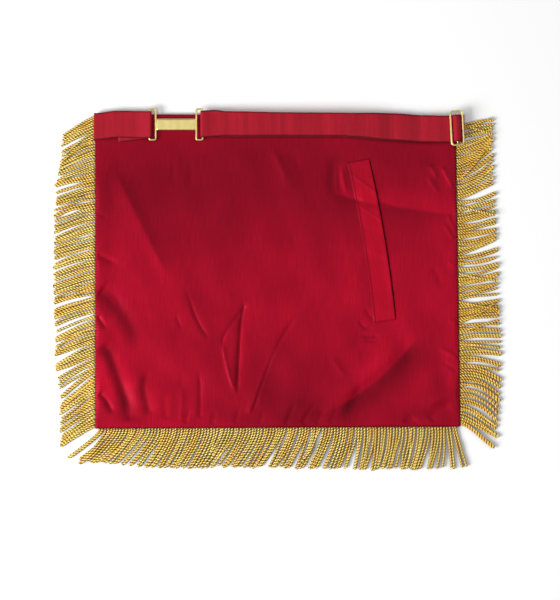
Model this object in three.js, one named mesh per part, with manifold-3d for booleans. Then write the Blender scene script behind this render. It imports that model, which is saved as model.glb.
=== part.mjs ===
// A ceremonial waist apron, lying face down: a flat front panel, a lining with a welt pocket sewn over it,
// twisted-cord fringe in the seam on three sides, and a webbing belt folded back across the top edge,
// with a slider at one corner and a clasp. Millimetres, +Z up, +Y towards the waist edge.
import * as THREE from "three";
import { mergeVertices } from "three/addons/utils/BufferGeometryUtils.js";
import Module from "manifold-3d";

const wasm = await Module();
wasm.setup();

// Driving sizes
const PANEL_WIDTH = 408.5; // along the hem
const WAIST_NARROWER = 5.5; // the waist edge is this much shorter
const PANEL_HEIGHT = 352.3; // its left side
const WAIST_FALL = 2.7; // the right end of the waist edge lies this much lower than the left
const HEM_RISE = 2.2; // and the right end of the hem this much higher
const PANEL_THICKNESS = 1.2;
const LINING_THICKNESS = 1;
const LINING_SETTLE = 0.4; // the lining's field lies this much lower than its seam
const EDGE_PUFF = 0.7; // rise of the rolled edge beside the fringe
const EDGE_ROLL = 9; // width of that roll
const FOLD_HEIGHT = 3; // the tallest fold of the lining

const HEAD_WIDTH = 6; // the fringe's head, sewn between panel and lining
const HEAD_THICKNESS = 1.8;
const ROOT_THICKNESS = 1.5; // of a lock where it leaves the head
const LOCK_UNEVENNESS = 0.03; // of neighbouring locks, as a share of the cord's length
const LOCK_NARROWING = 0.07; // a lock's tip is narrower than its root by this share
const CORD_LENGTH = 50; // what hangs out of the seam
const CORD_DIAMETER = 2.6;
const LOCK_PITCH = 13.5; // one lock of cords to this much of the edge
const LOCK_PARTING = 0.4; // between neighbouring locks at their roots
const RIGHT_START = 3; // the right fringe starts this far below the waist corner, behind the slider
const LOCK_STATIONS = [-0.03, 0.1, 0.32, 0.65, 1]; // sections of a lock, as shares of its length

const WEBBING_WIDTH = 30;
const WEBBING_THICKNESS = 1;
const WEBBING_SLACK = 0.1; // spare height between webbing layers
const ROLL_RADIUS = 2; // webbing rolling over the waist edge
const ROLL_START = 0.15; // beyond the edge
const LEFT_TAB = 22; // webbing sewn down on the lining, at the left corner
const RIGHT_TAB = 28;
const TAB_EASE = 12; // past that tab the layers above it ease down over this length
const DOUBLED_END = 35; // end of the left webbing, turned back round the clasp
const DOUBLED_SLIP = 5.6; // how far that end slips down at its tip
const RETURN_SLIP = 1.4; // the right webbing's lower layer lies this much lower

const SLIDER_WIDTH = 15.6;
const SLIDER_HEIGHT = 40;
const SLIDER_BAR = 2.2;
const SLIDER_THICKNESS = 1.8;
const SLIDER_CORNER = 4.4;
const SLIDER_CENTRE_BAR = 1.6; // diameter
const SLIDER_TURN = 0.055; // radians
const SLIDER_OVERHANG = 1.5; // its centre beyond the panel's top right corner
const SLIDER_RAISE = 0.1; // its centre above the webbing's
const FOLD_SHOWS = 0.7; // the webbing's fold, beyond the slider's side

const CLASP_LENGTH = 59.4; // between the centres of its two end bars
const CLASP_HEIGHT = 36.4;
const CLASP_BAR = 2;
const CLASP_THICKNESS = 1.4;
const CLASP_SLOT = 5;
const CLASP_WAIST = 13;
const CLASP_RISE = 16; // the webbing climbs to the clasp over this length
const CLASP_AT = 0.2217; // share of the panel's width

const WELT_LENGTH = 183;
const WELT_WIDTH = 24.2;
const WELT_THICKNESS = 1;
const WELT_TILT = 0.164; // radians off the apron's height
const WELT_BOW = 2.8;
const WELT_AT_X = 0.757; // share of the panel's width, from the left
const WELT_AT_Y = 0.404; // share of the panel's height, from the top
const MOUTH_WIDTH = 1.8;
const MOUTH_END = 3; // the mouth stops this far short of the welt's ends

const GAP = 0.3; // between touching pieces

const LINING_COLUMNS = 22; // cells across the lining, besides the narrow ones at its edges
const LINING_ROWS = 20;
const WELT_STEPS = 14; // cells along the welt
const CORNER_STEPS = 4; // cells round a quarter turn of a flat metal shape
const ARC_STEPS = 5; // cells in a half turn of webbing
const BELT_STEP = 18; // longest cell along the webbing
const SAME_PLACE = 0.05; // stations nearer than this are one

const CRIMSON = 0x8c0a20;
const WEBBING_RED = 0xa51d2d;
const BULLION_GOLD = 0xc9983a;
const GILT = 0xd8c066;

// Folds of the lining. From and to are shares of the panel's width and height, from its top left corner;
// rise is a share of FOLD_HEIGHT, spread a share of the panel's width, bend a share of the fold's length.
const FOLDS = [
  { fromX: 0.05, fromY: 0.16, toX: 0.31, toY: 0.71, bend: -0.04, rise: 0.35, spread: 0.035 },
  { fromX: 0.02, fromY: 0.73, toX: 0.07, toY: 0.95, bend: 0.06, rise: -0.45, spread: 0.022 },
  { fromX: 0.1, fromY: 0.7, toX: 0.12, toY: 0.97, bend: -0.05, rise: 0.5, spread: 0.025 },
  { fromX: 0.12, fromY: 0.83, toX: 0.15, toY: 0.98, bend: -0.08, rise: -0.3, spread: 0.02 },
  { fromX: 0.41, fromY: 0.6, toX: 0.385, toY: 0.87, bend: 0.08, rise: 0.8, spread: 0.022 },
  { fromX: 0.34, fromY: 0.73, toX: 0.38, toY: 0.9, bend: -0.06, rise: 0.5, spread: 0.022 },
  { fromX: 0.57, fromY: 0.58, toX: 0.43, toY: 0.95, bend: 0.07, rise: 1, spread: 0.024 },
  { fromX: 0.84, fromY: 0.76, toX: 0.68, toY: 0.94, bend: 0.04, rise: -0.4, spread: 0.035 },
  { fromX: 0.97, fromY: 0.8, toX: 0.83, toY: 0.95, bend: 0.03, rise: 0.5, spread: 0.035 },
  { fromX: 0.88, fromY: 0.13, toX: 0.96, toY: 0.28, bend: 0.04, rise: 0.35, spread: 0.025 },
];

// How the cords lie along each edge. At is the share of the edge, from its top or its left end; lean is how
// far the tips lie along the edge, towards its far end, and bow how far the middles bulge, as shares of the
// cord's length; long is the share of CORD_LENGTH that lies stretched out there.
const FLOWS = {
  left: [
    { at: 0, lean: 0.47, bow: -0.02, long: 0.85 },
    { at: 0.1, lean: 0.4, bow: -0.03, long: 0.88 },
    { at: 0.22, lean: 0.24, bow: -0.02, long: 0.93 },
    { at: 0.3, lean: 0.3, bow: -0.03, long: 0.97 },
    { at: 0.55, lean: 0.27, bow: -0.02, long: 0.98 },
    { at: 0.75, lean: 0.38, bow: -0.02, long: 0.98 },
    { at: 0.84, lean: 0.6, bow: 0, long: 0.98 },
    { at: 0.93, lean: 0.54, bow: -0.02, long: 0.96 },
    { at: 1, lean: 0.5, bow: -0.01, long: 0.92 },
  ],
  bottom: [
    { at: 0, lean: -0.78, bow: 0.1, long: 1 },
    { at: 0.1, lean: -0.6, bow: 0.16, long: 1 },
    { at: 0.25, lean: -0.42, bow: 0.12, long: 1 },
    { at: 0.45, lean: -0.44, bow: 0.13, long: 1 },
    { at: 0.6, lean: -0.36, bow: 0.12, long: 1 },
    { at: 0.75, lean: -0.16, bow: 0.08, long: 0.98 },
    { at: 0.92, lean: -0.16, bow: 0.1, long: 0.98 },
    { at: 1, lean: 0.26, bow: -0.04, long: 0.97 },
  ],
  right: [
    { at: 0, lean: 0.04, bow: -0.05, long: 0.86 },
    { at: 0.06, lean: -0.14, bow: 0.03, long: 0.88 },
    { at: 0.18, lean: -0.5, bow: 0.1, long: 0.94 },
    { at: 0.26, lean: -0.4, bow: 0.06, long: 0.93 },
    { at: 0.31, lean: -0.16, bow: 0.03, long: 0.9 },
    { at: 0.45, lean: -0.2, bow: 0.03, long: 0.92 },
    { at: 0.62, lean: -0.14, bow: 0, long: 0.94 },
    { at: 0.76, lean: 0.06, bow: -0.05, long: 0.96 },
    { at: 0.88, lean: 0.42, bow: -0.14, long: 0.98 },
    { at: 1, lean: 0.5, bow: -0.02, long: 0.95 },
  ],
};

// A lock's section, as shares of its half width and half height.
const LOCK_SECTION = [
  { across: -1, up: 0 },
  { across: -0.7, up: -1 },
  { across: 0.7, up: -1 },
  { across: 1, up: 0 },
  { across: 0.7, up: 1 },
  { across: -0.7, up: 1 },
];

// The belt's lie. At is a share of the panel's width; drop is how far the webbing's lower edge lies below
// the waist edge, in webbing widths; roll is how much of a quarter turn its upper edge makes over it.
const BELT = [
  { at: 0, drop: 0.975, roll: 0 },
  { at: 0.062, drop: 0.884, roll: 0 },
  { at: 0.15, drop: 0.9, roll: 0 },
  { at: 0.29, drop: 0.862, roll: 0 },
  { at: 0.36, drop: 0.793, roll: 0.9 },
  { at: 0.53, drop: 0.773, roll: 1 },
  { at: 0.67, drop: 0.769, roll: 1 },
  { at: 0.72, drop: 0.805, roll: 1 },
  { at: 0.81, drop: 0.91, roll: 0.85 },
  { at: 0.9, drop: 0.979, roll: 0 },
  { at: 0.963, drop: 0.99, roll: 0 },
  { at: 1, drop: 0.95, roll: 0 },
];
const MOST_FLAT = 0.92; // share of the webbing's width at which the roll starts, at the latest
// Points across the webbing: up to 1 they share out its flat part, from 1 to 2 its upper edge.
const ACROSS = [0, 0.5, 1, 1.2, 1.42, 2];

// Levels that follow from the sizes
const left = -PANEL_WIDTH / 2;
const top = PANEL_HEIGHT / 2;
const bottom = -PANEL_HEIGHT / 2;
const headBase = PANEL_THICKNESS + GAP;
const seamUnder = headBase + HEAD_THICKNESS + GAP;
const seamTop = seamUnder + LINING_THICKNESS;
const layerStep = WEBBING_THICKNESS + GAP + WEBBING_SLACK;
const layer = (n) => seamTop + GAP + WEBBING_THICKNESS / 2 + n * layerStep;

const lerp = THREE.MathUtils.lerp;
const clamp = THREE.MathUtils.clamp;
const smoothstep = THREE.MathUtils.smoothstep;
const rightAt = (y) => lerp(rightHem.x, rightWaist.x, (y - rightHem.y) / (rightWaist.y - rightHem.y));
const waistAt = (x) => top - (WAIST_FALL * (x - left)) / PANEL_WIDTH;
const hemAt = (x) => bottom + (HEM_RISE * (x - left)) / PANEL_WIDTH;
const acrossPanel = (share) => left + share * PANEL_WIDTH;
const downPanel = (share) => top - share * PANEL_HEIGHT;

// The panel's corners
const leftWaist = new THREE.Vector2(left, top);
const leftHem = new THREE.Vector2(left, bottom);
const rightHem = new THREE.Vector2(left + PANEL_WIDTH, bottom + HEM_RISE);
const rightWaist = new THREE.Vector2(left + PANEL_WIDTH - WAIST_NARROWER, top - WAIST_FALL);

// A table's columns at one place along it, blended smoothly between its rows.
function readTable(rows, at) {
  const next = Math.max(1, rows.findIndex((row) => row.at >= at));
  const last = at > rows.at(-1).at ? rows.length - 1 : next;
  const a = rows[last - 1];
  const b = rows[last];
  const t = smoothstep(clamp(at, a.at, b.at), a.at, b.at);
  return Object.fromEntries(Object.keys(a).map((key) => [key, lerp(a[key], b[key], t)]));
}

function geometryOf(points, triangles) {
  const geometry = new THREE.BufferGeometry();
  geometry.setAttribute("position", new THREE.Float32BufferAttribute(points.flatMap((p) => p.toArray()), 3));
  geometry.setIndex(triangles);
  return geometry;
}

// A closed wall between two grids of points, the outer one above the inner one.
function slab(outer, inner) {
  const rows = outer.length;
  const columns = outer[0].length;
  const points = [...outer.flat(), ...inner.flat()];
  const up = (i, j) => i * columns + j;
  const down = (i, j) => rows * columns + up(i, j);
  const triangles = [];
  const quad = (a, b, c, d) => triangles.push(a, b, c, a, c, d);
  for (let i = 0; i + 1 < rows; i++) {
    for (let j = 0; j + 1 < columns; j++) {
      quad(up(i, j), up(i, j + 1), up(i + 1, j + 1), up(i + 1, j));
      quad(down(i, j), down(i + 1, j), down(i + 1, j + 1), down(i, j + 1));
    }
    quad(up(i, 0), up(i + 1, 0), down(i + 1, 0), down(i, 0));
    quad(up(i, columns - 1), down(i, columns - 1), down(i + 1, columns - 1), up(i + 1, columns - 1));
  }
  for (let j = 0; j + 1 < columns; j++) {
    quad(up(0, j), down(0, j), down(0, j + 1), up(0, j + 1));
    quad(up(rows - 1, j), up(rows - 1, j + 1), down(rows - 1, j + 1), down(rows - 1, j));
  }
  return geometryOf(points, triangles);
}

// A closed body through rings with equal numbers of points.
function loft(rings) {
  const count = rings[0].length;
  const triangles = [];
  for (let i = 0; i + 1 < rings.length; i++) {
    for (let j = 0; j < count; j++) {
      const a = i * count + j;
      const b = i * count + ((j + 1) % count);
      triangles.push(a, b, b + count, a, b + count, a + count);
    }
  }
  const end = (rings.length - 1) * count;
  for (let j = 1; j + 1 < count; j++) {
    triangles.push(0, j + 1, j, end, end + j, end + j + 1);
  }
  return geometryOf(rings.flat(), triangles);
}

// Solids for joining and cutting, and back again.
function toSolid(geometry) {
  const bare = geometry.clone();
  bare.deleteAttribute("normal");
  bare.deleteAttribute("uv");
  const merged = mergeVertices(bare, 1e-4);
  const mesh = { numProp: 3, vertProperties: merged.attributes.position.array };
  const solid = new wasm.Manifold(new wasm.Mesh({ ...mesh, triVerts: new Uint32Array(merged.index.array) }));
  if (solid.volume() > 0) return solid;
  const turned = merged.index.array.slice().reverse();
  return new wasm.Manifold(new wasm.Mesh({ ...mesh, triVerts: new Uint32Array(turned) }));
}

function fromSolid(solid) {
  const mesh = solid.getMesh();
  const geometry = new THREE.BufferGeometry();
  geometry.setAttribute("position", new THREE.BufferAttribute(Float32Array.from(mesh.vertProperties), 3));
  geometry.setIndex(new THREE.BufferAttribute(Uint32Array.from(mesh.triVerts), 1));
  return geometry;
}

const join = (geometries) => fromSolid(geometries.map(toSolid).reduce((all, one) => all.add(one)));
const cut = (geometry, tool) => fromSolid(toSolid(geometry).subtract(toSolid(tool)));

function extrude(shape, depth, base) {
  const options = { depth, bevelEnabled: false, curveSegments: CORNER_STEPS };
  const geometry = new THREE.ExtrudeGeometry(shape, options);
  return geometry.translate(0, 0, base);
}

function roundedRectangle(path, width, height, corner, centreX = 0) {
  const x = width / 2 - corner;
  const y = height / 2 - corner;
  path.moveTo(centreX - x, -y - corner);
  path.absarc(centreX + x, -y, corner, -Math.PI / 2, 0, false);
  path.absarc(centreX + x, y, corner, 0, Math.PI / 2, false);
  path.absarc(centreX - x, y, corner, Math.PI / 2, Math.PI, false);
  path.absarc(centreX - x, -y, corner, Math.PI, 1.5 * Math.PI, false);
  return path;
}

// The front panel, a plain flat sheet.
function frontPanel() {
  const shape = new THREE.Shape();
  shape.setFromPoints([leftHem, rightHem, rightWaist, leftWaist]);
  return extrude(shape, PANEL_THICKNESS, 0);
}

// Height of one fold at a point: a bell across it, fading out at both ends.
function foldHeight(fold, x, y) {
  const fromX = acrossPanel(fold.fromX);
  const fromY = downPanel(fold.fromY);
  const alongX = acrossPanel(fold.toX) - fromX;
  const alongY = downPanel(fold.toY) - fromY;
  const length = Math.hypot(alongX, alongY);
  const t = ((x - fromX) * alongX + (y - fromY) * alongY) / length ** 2;
  const side = ((x - fromX) * alongY - (y - fromY) * alongX) / length;
  const middle = fold.bend * length * Math.sin(Math.PI * clamp(t, 0, 1));
  const spread = fold.spread * PANEL_WIDTH;
  const fade = smoothstep(t, -0.1, 0.35) * (1 - smoothstep(t, 0.75, 1.1));
  return fold.rise * FOLD_HEIGHT * fade * Math.exp(-(((side - middle) / spread) ** 2));
}

// The lining's upper surface. It stays level under the belt and eases down from the seam into the field.
function liningTop(x, y) {
  const fromSide = Math.min(x - left, rightAt(y) - x, y - hemAt(x));
  const fromWaist = waistAt(x) - y;
  const fromEdge = Math.min(fromSide, fromWaist);
  const belowBelt = smoothstep(fromWaist, 1.1 * WEBBING_WIDTH, 2 * WEBBING_WIDTH);
  const puff = EDGE_PUFF * Math.sin(Math.PI * clamp(fromSide / EDGE_ROLL, 0, 1)) * belowBelt;
  const field = smoothstep(fromEdge, EDGE_ROLL / 2, 3 * EDGE_ROLL);
  const folds = FOLDS.reduce((sum, fold) => sum + foldHeight(fold, x, y), 0);
  const height = seamTop + puff - LINING_SETTLE * field + folds * field * belowBelt;
  return Math.max(height, headBase + LINING_THICKNESS);
}

// A row of the lining's grid: closer columns at the edges, where it rolls.
function gridShares(count) {
  const even = Array.from({ length: count - 1 }, (_, i) => (i + 1.35) / (count + 0.7));
  return [0, 0.012, ...even, 0.988, 1];
}

function backLining() {
  const columns = gridShares(LINING_COLUMNS);
  const rows = gridShares(LINING_ROWS);
  const sheet = (thickness) =>
    rows.map((v) =>
      columns.map((u) => {
        const p = leftHem.clone().lerp(rightHem, u).lerp(leftWaist.clone().lerp(rightWaist, u), v);
        return new THREE.Vector3(p.x, p.y, liningTop(p.x, p.y) - thickness);
      }),
    );
  return cut(slab(sheet(0), sheet(LINING_THICKNESS)), pocketMouth());
}

// A point of the pocket: along runs down the welt from -1 to 1, across is millimetres from its middle line.
function pocketPoint(along, across) {
  const x = acrossPanel(WELT_AT_X);
  const y = downPanel(WELT_AT_Y);
  const down = (along * WELT_LENGTH) / 2;
  const side = across + WELT_BOW * (1 - along ** 2);
  return new THREE.Vector2(
    x + down * Math.sin(WELT_TILT) + side * Math.cos(WELT_TILT),
    y - down * Math.cos(WELT_TILT) + side * Math.sin(WELT_TILT),
  );
}

// The slit that the pocket opens through, under the welt's free edge.
function pocketMouth() {
  const reach = 1 - (2 * MOUTH_END) / WELT_LENGTH;
  const along = Array.from({ length: WELT_STEPS + 1 }, (_, i) => lerp(-reach, reach, i / WELT_STEPS));
  const outer = WELT_WIDTH / 2 - GAP;
  const points = [
    ...along.map((t) => pocketPoint(t, outer - MOUTH_WIDTH)),
    ...along.reverse().map((t) => pocketPoint(t, outer)),
  ];
  return extrude(new THREE.Shape(points), seamTop + FOLD_HEIGHT + EDGE_PUFF, PANEL_THICKNESS);
}

function pocketWelt() {
  const sheet = (base) =>
    Array.from({ length: WELT_STEPS + 1 }, (_, i) =>
      [1, 0, -1].map((side) => {
        const p = pocketPoint(lerp(-1, 1, i / WELT_STEPS), (side * WELT_WIDTH) / 2);
        return new THREE.Vector3(p.x, p.y, liningTop(p.x, p.y) + base);
      }),
    );
  return slab(sheet(GAP + WELT_THICKNESS), sheet(GAP));
}

// The fringed edges: where each starts, which way it runs, which way its cords leave it, and how much of
// both its ends is left bare.
function seam(start, end, turned, bare) {
  const run = end.clone().sub(start);
  const out = new THREE.Vector2(turned * run.y, -turned * run.x).normalize();
  return { start, run, out, bare };
}
const cornerRoom = HEAD_WIDTH + 2 * GAP; // for the side heads
const EDGES = {
  left: seam(leftWaist, leftHem, 1, [0, 0]),
  bottom: seam(leftHem, rightHem, 1, [cornerRoom, cornerRoom]),
  right: seam(rightWaist, rightHem, -1, [RIGHT_START, 0]),
};

// A repeatable uneven number from -1 to 1 for each lock.
const uneven = (n, salt) => Math.sin(n * 2.399 + salt * 1.7) * Math.cos(n * 0.83 + salt);

// A lock of cords: flat on the floor but for its root, which climbs into the seam.
function lock(edge, flow, at, n, halfWidth) {
  const root = edge.start.clone().addScaledVector(edge.run, at);
  const along = edge.run.clone().normalize();
  const lie = readTable(flow, at);
  const cord = lie.long * CORD_LENGTH;
  const lean = (lie.lean + LOCK_UNEVENNESS * uneven(n, 1)) * cord;
  const shorter = 1 - LOCK_UNEVENNESS * Math.abs(uneven(n, 2));
  const reach = Math.sqrt(cord ** 2 - lean ** 2) * shorter;
  const middle = (t) =>
    root
      .clone()
      .addScaledVector(edge.out, t * reach)
      .addScaledVector(along, t * lean + 4 * lie.bow * cord * Math.max(t, 0) * (1 - t));
  return loft(
    LOCK_STATIONS.map((t) => {
      const heading = middle(t + 0.01).sub(middle(t - 0.01)).normalize();
      const side = new THREE.Vector2(-heading.y, heading.x);
      const laid = smoothstep(t, 0.05, 0.32);
      const height = lerp(ROOT_THICKNESS, CORD_DIAMETER, laid) / 2;
      const level = lerp(headBase + HEAD_THICKNESS / 2, CORD_DIAMETER / 2, laid);
      const narrowing = (LOCK_NARROWING + LOCK_UNEVENNESS * uneven(n, 3)) * smoothstep(t, 0.2, 1);
      const wide = halfWidth * Math.abs(side.dot(along)) * (1 - narrowing);
      return LOCK_SECTION.map(({ across, up }) => {
        const p = middle(t).addScaledVector(side, across * wide);
        return new THREE.Vector3(p.x, p.y, level + up * height);
      });
    }),
  );
}

// Fringe for one edge: a flat head in the seam, and the locks that leave it.
function fringe(name) {
  const edge = EDGES[name];
  const length = edge.run.length();
  const along = edge.run.clone().normalize();
  const [first, last] = edge.bare;
  const seat = edge.start.clone().addScaledVector(edge.out, -GAP);
  const head = [
    seat.clone().addScaledVector(along, first),
    seat.clone().addScaledVector(along, length - Math.max(last, GAP)),
  ];
  const outline = [...head, ...head.map((p) => p.clone().addScaledVector(edge.out, -HEAD_WIDTH)).reverse()];
  const strip = extrude(new THREE.Shape(outline), HEAD_THICKNESS, headBase);
  const fringed = length - first - last;
  const count = Math.round(fringed / LOCK_PITCH);
  const pitch = fringed / count;
  const locks = Array.from({ length: count }, (_, n) => {
    const at = (first + (n + 0.5) * pitch) / length;
    return lock(edge, FLOWS[name], at, n, (pitch - LOCK_PARTING) / 2);
  });
  return join([strip, ...locks]);
}

// A half turn of webbing in the plane of its path, from below to above or back, round a bar.
function turn(x, z, radius, from, to) {
  return Array.from({ length: ARC_STEPS + 1 }, (_, i) => {
    const angle = lerp(from, to, i / ARC_STEPS);
    return { x: x + radius * Math.cos(angle), z: z + radius * Math.sin(angle) };
  });
}

// Points along a straight stretch, close enough to follow the belt's table.
function stretch(fromX, fromZ, toX, toZ, step) {
  const count = Math.max(1, Math.ceil(Math.abs(toX - fromX) / step));
  return Array.from({ length: count + 1 }, (_, i) => ({
    x: lerp(fromX, toX, i / count),
    z: lerp(fromZ, toZ, i / count),
  }));
}

// Webbing along a path of stations, each with x, z, and optionally slip, how far it has slipped down.
function webbing(stations, across, turning) {
  const apart = (a, b) => Math.hypot(a.x - b.x, a.z - b.z) > SAME_PLACE;
  const path = stations.filter((s, i) => !i || apart(s, stations[i - 1]));
  const half = WEBBING_THICKNESS / 2;
  const sheet = (offset) =>
    path.map((s, i) => {
      const before = path[Math.max(i - 1, 0)];
      const after = path[Math.min(i + 1, path.length - 1)];
      const slope = Math.atan2(after.z - before.z, after.x - before.x);
      const { drop, roll } = readTable(BELT, (s.x - left) / PANEL_WIDTH);
      const flat = Math.min(drop, MOST_FLAT) * WEBBING_WIDTH + ROLL_START;
      const lower = s.lower ?? 0; // how far this layer lies inside the outer one
      const radius = ROLL_RADIUS - lower;
      return across.map((place) => {
        const spread = Math.min(place, 1) * flat + Math.max(place - 1, 0) * (WEBBING_WIDTH - flat);
        const length = spread - (s.slip ?? 0);
        const bent = roll * Math.max(length - flat, 0);
        const angle = Math.min(bent / radius, (roll * Math.PI) / 2);
        const hang = Math.max(bent - angle * radius, 0);
        const y =
          waistAt(s.x) - drop * WEBBING_WIDTH +
          Math.min(length, flat) + (1 - roll) * Math.max(length - flat, 0) +
          (radius + offset) * Math.sin(angle) + hang * Math.cos(angle);
        const sink = radius * (1 - Math.cos(angle)) + hang * Math.sin(angle) - offset * Math.cos(angle);
        const skew = turning && !s.straight ? turning(s.x, y) : 0;
        return new THREE.Vector3(
          s.x + skew + Math.sin(slope) * sink,
          y,
          s.z - Math.cos(slope) * sink,
        );
      });
    });
  return slab(sheet(-half), sheet(half));
}

// Where the clasp's bars and the slider lie.
const claspX = acrossPanel(CLASP_AT);
const claspWrap = Math.hypot(CLASP_BAR, CLASP_THICKNESS) / 2 + GAP + WEBBING_THICKNESS / 2;
const claspZ = layer(0) + claspWrap;
const webbingMiddle = (x) =>
  waistAt(x) - (readTable(BELT, (x - left) / PANEL_WIDTH).drop - 0.5) * WEBBING_WIDTH;
const sliderX = rightWaist.x + SLIDER_OVERHANG;
const sliderY = webbingMiddle(sliderX) + SLIDER_RAISE;
const sliderBase = layer(2) + WEBBING_THICKNESS / 2 + GAP + WEBBING_SLACK;
const sliderZ = sliderBase + SLIDER_THICKNESS / 2;
const sliderWindow = SLIDER_WIDTH / 2 - SLIDER_BAR;

// The left webbing: sewn down at the corner, folded back over itself, and doubled round the clasp.
function leftWebbing() {
  const fold = (layer(1) - layer(0)) / 2;
  const edge = left - WEBBING_THICKNESS / 5;
  const bar = claspX - CLASP_LENGTH / 2;
  const tip = bar - DOUBLED_END;
  const stations = [
    ...stretch(left + LEFT_TAB, layer(0), edge, layer(0), LEFT_TAB),
    ...turn(edge, layer(0) + fold, fold, 1.5 * Math.PI, Math.PI / 2),
    ...stretch(edge, layer(1), bar - CLASP_RISE, layer(1), BELT_STEP),
    ...turn(bar, claspZ, claspWrap, Math.PI / 2, -Math.PI / 2),
    ...stretch(bar, layer(0), tip, layer(0), BELT_STEP).map((s) => ({
      ...s,
      slip: (DOUBLED_SLIP * (bar - s.x)) / DOUBLED_END,
    })),
  ];
  return webbing(stations, [0, 2]);
}

// The right webbing: sewn down at the corner, folded up through the slider and over its centre bar, along
// the waist edge to the clasp, round its bar, and back underneath to end round the slider's centre bar.
function rightWebbing() {
  const bar = claspX + CLASP_LENGTH / 2;
  const fold = (layer(2) - layer(0)) / 2;
  const foldX = sliderX + SLIDER_WIDTH / 2 + FOLD_SHOWS - fold - WEBBING_THICKNESS / 2;
  const endWrap = SLIDER_CENTRE_BAR / 2 + GAP + WEBBING_THICKNESS / 2;
  const overWrap = endWrap + WEBBING_THICKNESS + GAP + WEBBING_SLACK;
  const easeFrom = sliderX - RIGHT_TAB - WEBBING_THICKNESS;
  const easeTo = easeFrom - TAB_EASE;
  const ease = (overWrap + sliderWindow) / 2;
  const slipping = (x) =>
    smoothstep(x, bar, bar + 2 * CLASP_RISE) - smoothstep(x, easeTo - 4 * TAB_EASE, easeFrom);
  const nearBar = (x) => ({ x, z: lerp(layer(2), sliderZ, 0.2) });
  const stations = [
    ...[
      ...stretch(sliderX - RIGHT_TAB, layer(0), foldX, layer(0), RIGHT_TAB),
      ...turn(foldX, layer(0) + fold, fold, -Math.PI / 2, Math.PI / 2),
    ].map((s) => ({ ...s, straight: true })),
    nearBar(sliderX + ease),
    ...turn(sliderX, sliderZ, overWrap, -0.1, Math.PI + 0.1),
    nearBar(sliderX - ease),
    ...stretch(sliderX - sliderWindow, layer(2), easeFrom, layer(2), BELT_STEP),
    ...stretch(easeTo, layer(1), bar + CLASP_RISE, layer(1), BELT_STEP),
    ...turn(bar, claspZ, claspWrap, Math.PI / 2, 1.5 * Math.PI),
    ...[
      ...stretch(bar, layer(0), easeTo, layer(0), BELT_STEP),
      ...stretch(easeFrom, layer(1), sliderX - sliderWindow, layer(1), BELT_STEP),
      { x: sliderX - endWrap, z: sliderZ - endWrap - GAP },
      ...turn(sliderX, sliderZ, endWrap, -Math.PI / 2, Math.PI / 2),
      { x: sliderX - GAP, z: sliderZ + endWrap },
    ].map((s) => ({ ...s, slip: RETURN_SLIP * slipping(s.x), lower: layerStep })),
  ];
  const near = (x) => smoothstep(x, easeTo, sliderX - SLIDER_WIDTH / 2);
  return webbing(stations, ACROSS, (x, y) => -(y - sliderY) * Math.tan(SLIDER_TURN) * near(x));
}

// The slider: a flat rounded frame with a round bar across its middle.
function slider() {
  const shape = roundedRectangle(new THREE.Shape(), SLIDER_WIDTH, SLIDER_HEIGHT, SLIDER_CORNER);
  const inside = SLIDER_CORNER - SLIDER_BAR / 2;
  const window = roundedRectangle(
    new THREE.Path(), SLIDER_WIDTH - 2 * SLIDER_BAR, SLIDER_HEIGHT - 2 * SLIDER_BAR, inside,
  );
  shape.holes.push(window);
  const frame = extrude(shape, SLIDER_THICKNESS, -SLIDER_THICKNESS / 2);
  const reach = SLIDER_HEIGHT - SLIDER_BAR;
  const bar = new THREE.CylinderGeometry(SLIDER_CENTRE_BAR / 2, SLIDER_CENTRE_BAR / 2, reach, 12);
  return join([frame, bar]);
}

// The clasp, plain: two slots for the webbing, and a narrower waist between them.
function clasp() {
  const end = CLASP_LENGTH / 2 + CLASP_BAR / 2;
  const inside = end - 2 * CLASP_BAR - CLASP_SLOT;
  const shape = new THREE.Shape();
  const tall = CLASP_HEIGHT / 2;
  const slim = CLASP_WAIST / 2;
  const round = CLASP_BAR;
  const quarter = (signX, signY) =>
    [
      [inside - 2 * round, slim],
      [inside, slim + round],
      [inside, tall - round],
      [inside + round, tall],
      [end - round, tall],
      [end, tall - round],
    ].map(([x, y]) => new THREE.Vector2(signX * x, signY * y));
  shape.setFromPoints([
    ...quarter(1, 1),
    ...quarter(1, -1).reverse(),
    ...quarter(-1, -1),
    ...quarter(-1, 1).reverse(),
  ]);
  for (const side of [-1, 1]) {
    const middle = side * (end - CLASP_BAR - CLASP_SLOT / 2);
    const tallness = CLASP_HEIGHT - 2 * CLASP_BAR;
    shape.holes.push(roundedRectangle(new THREE.Path(), CLASP_SLOT, tallness, CLASP_BAR / 2, middle));
  }
  return extrude(shape, CLASP_THICKNESS, -CLASP_THICKNESS / 2);
}

const satin = new THREE.MeshStandardMaterial({ color: CRIMSON, roughness: 0.45, metalness: 0 });
const tape = new THREE.MeshStandardMaterial({ color: WEBBING_RED, roughness: 0.65, metalness: 0 });
const bullion = new THREE.MeshStandardMaterial({ color: BULLION_GOLD, roughness: 0.4, metalness: 0.3 });
const gilt = new THREE.MeshStandardMaterial({ color: GILT, roughness: 0.25, metalness: 1 });

const apron = new THREE.Group();
function add(name, geometry, material, place) {
  const mesh = new THREE.Mesh(geometry, material);
  mesh.name = name;
  if (place) place(mesh);
  apron.add(mesh);
}

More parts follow.
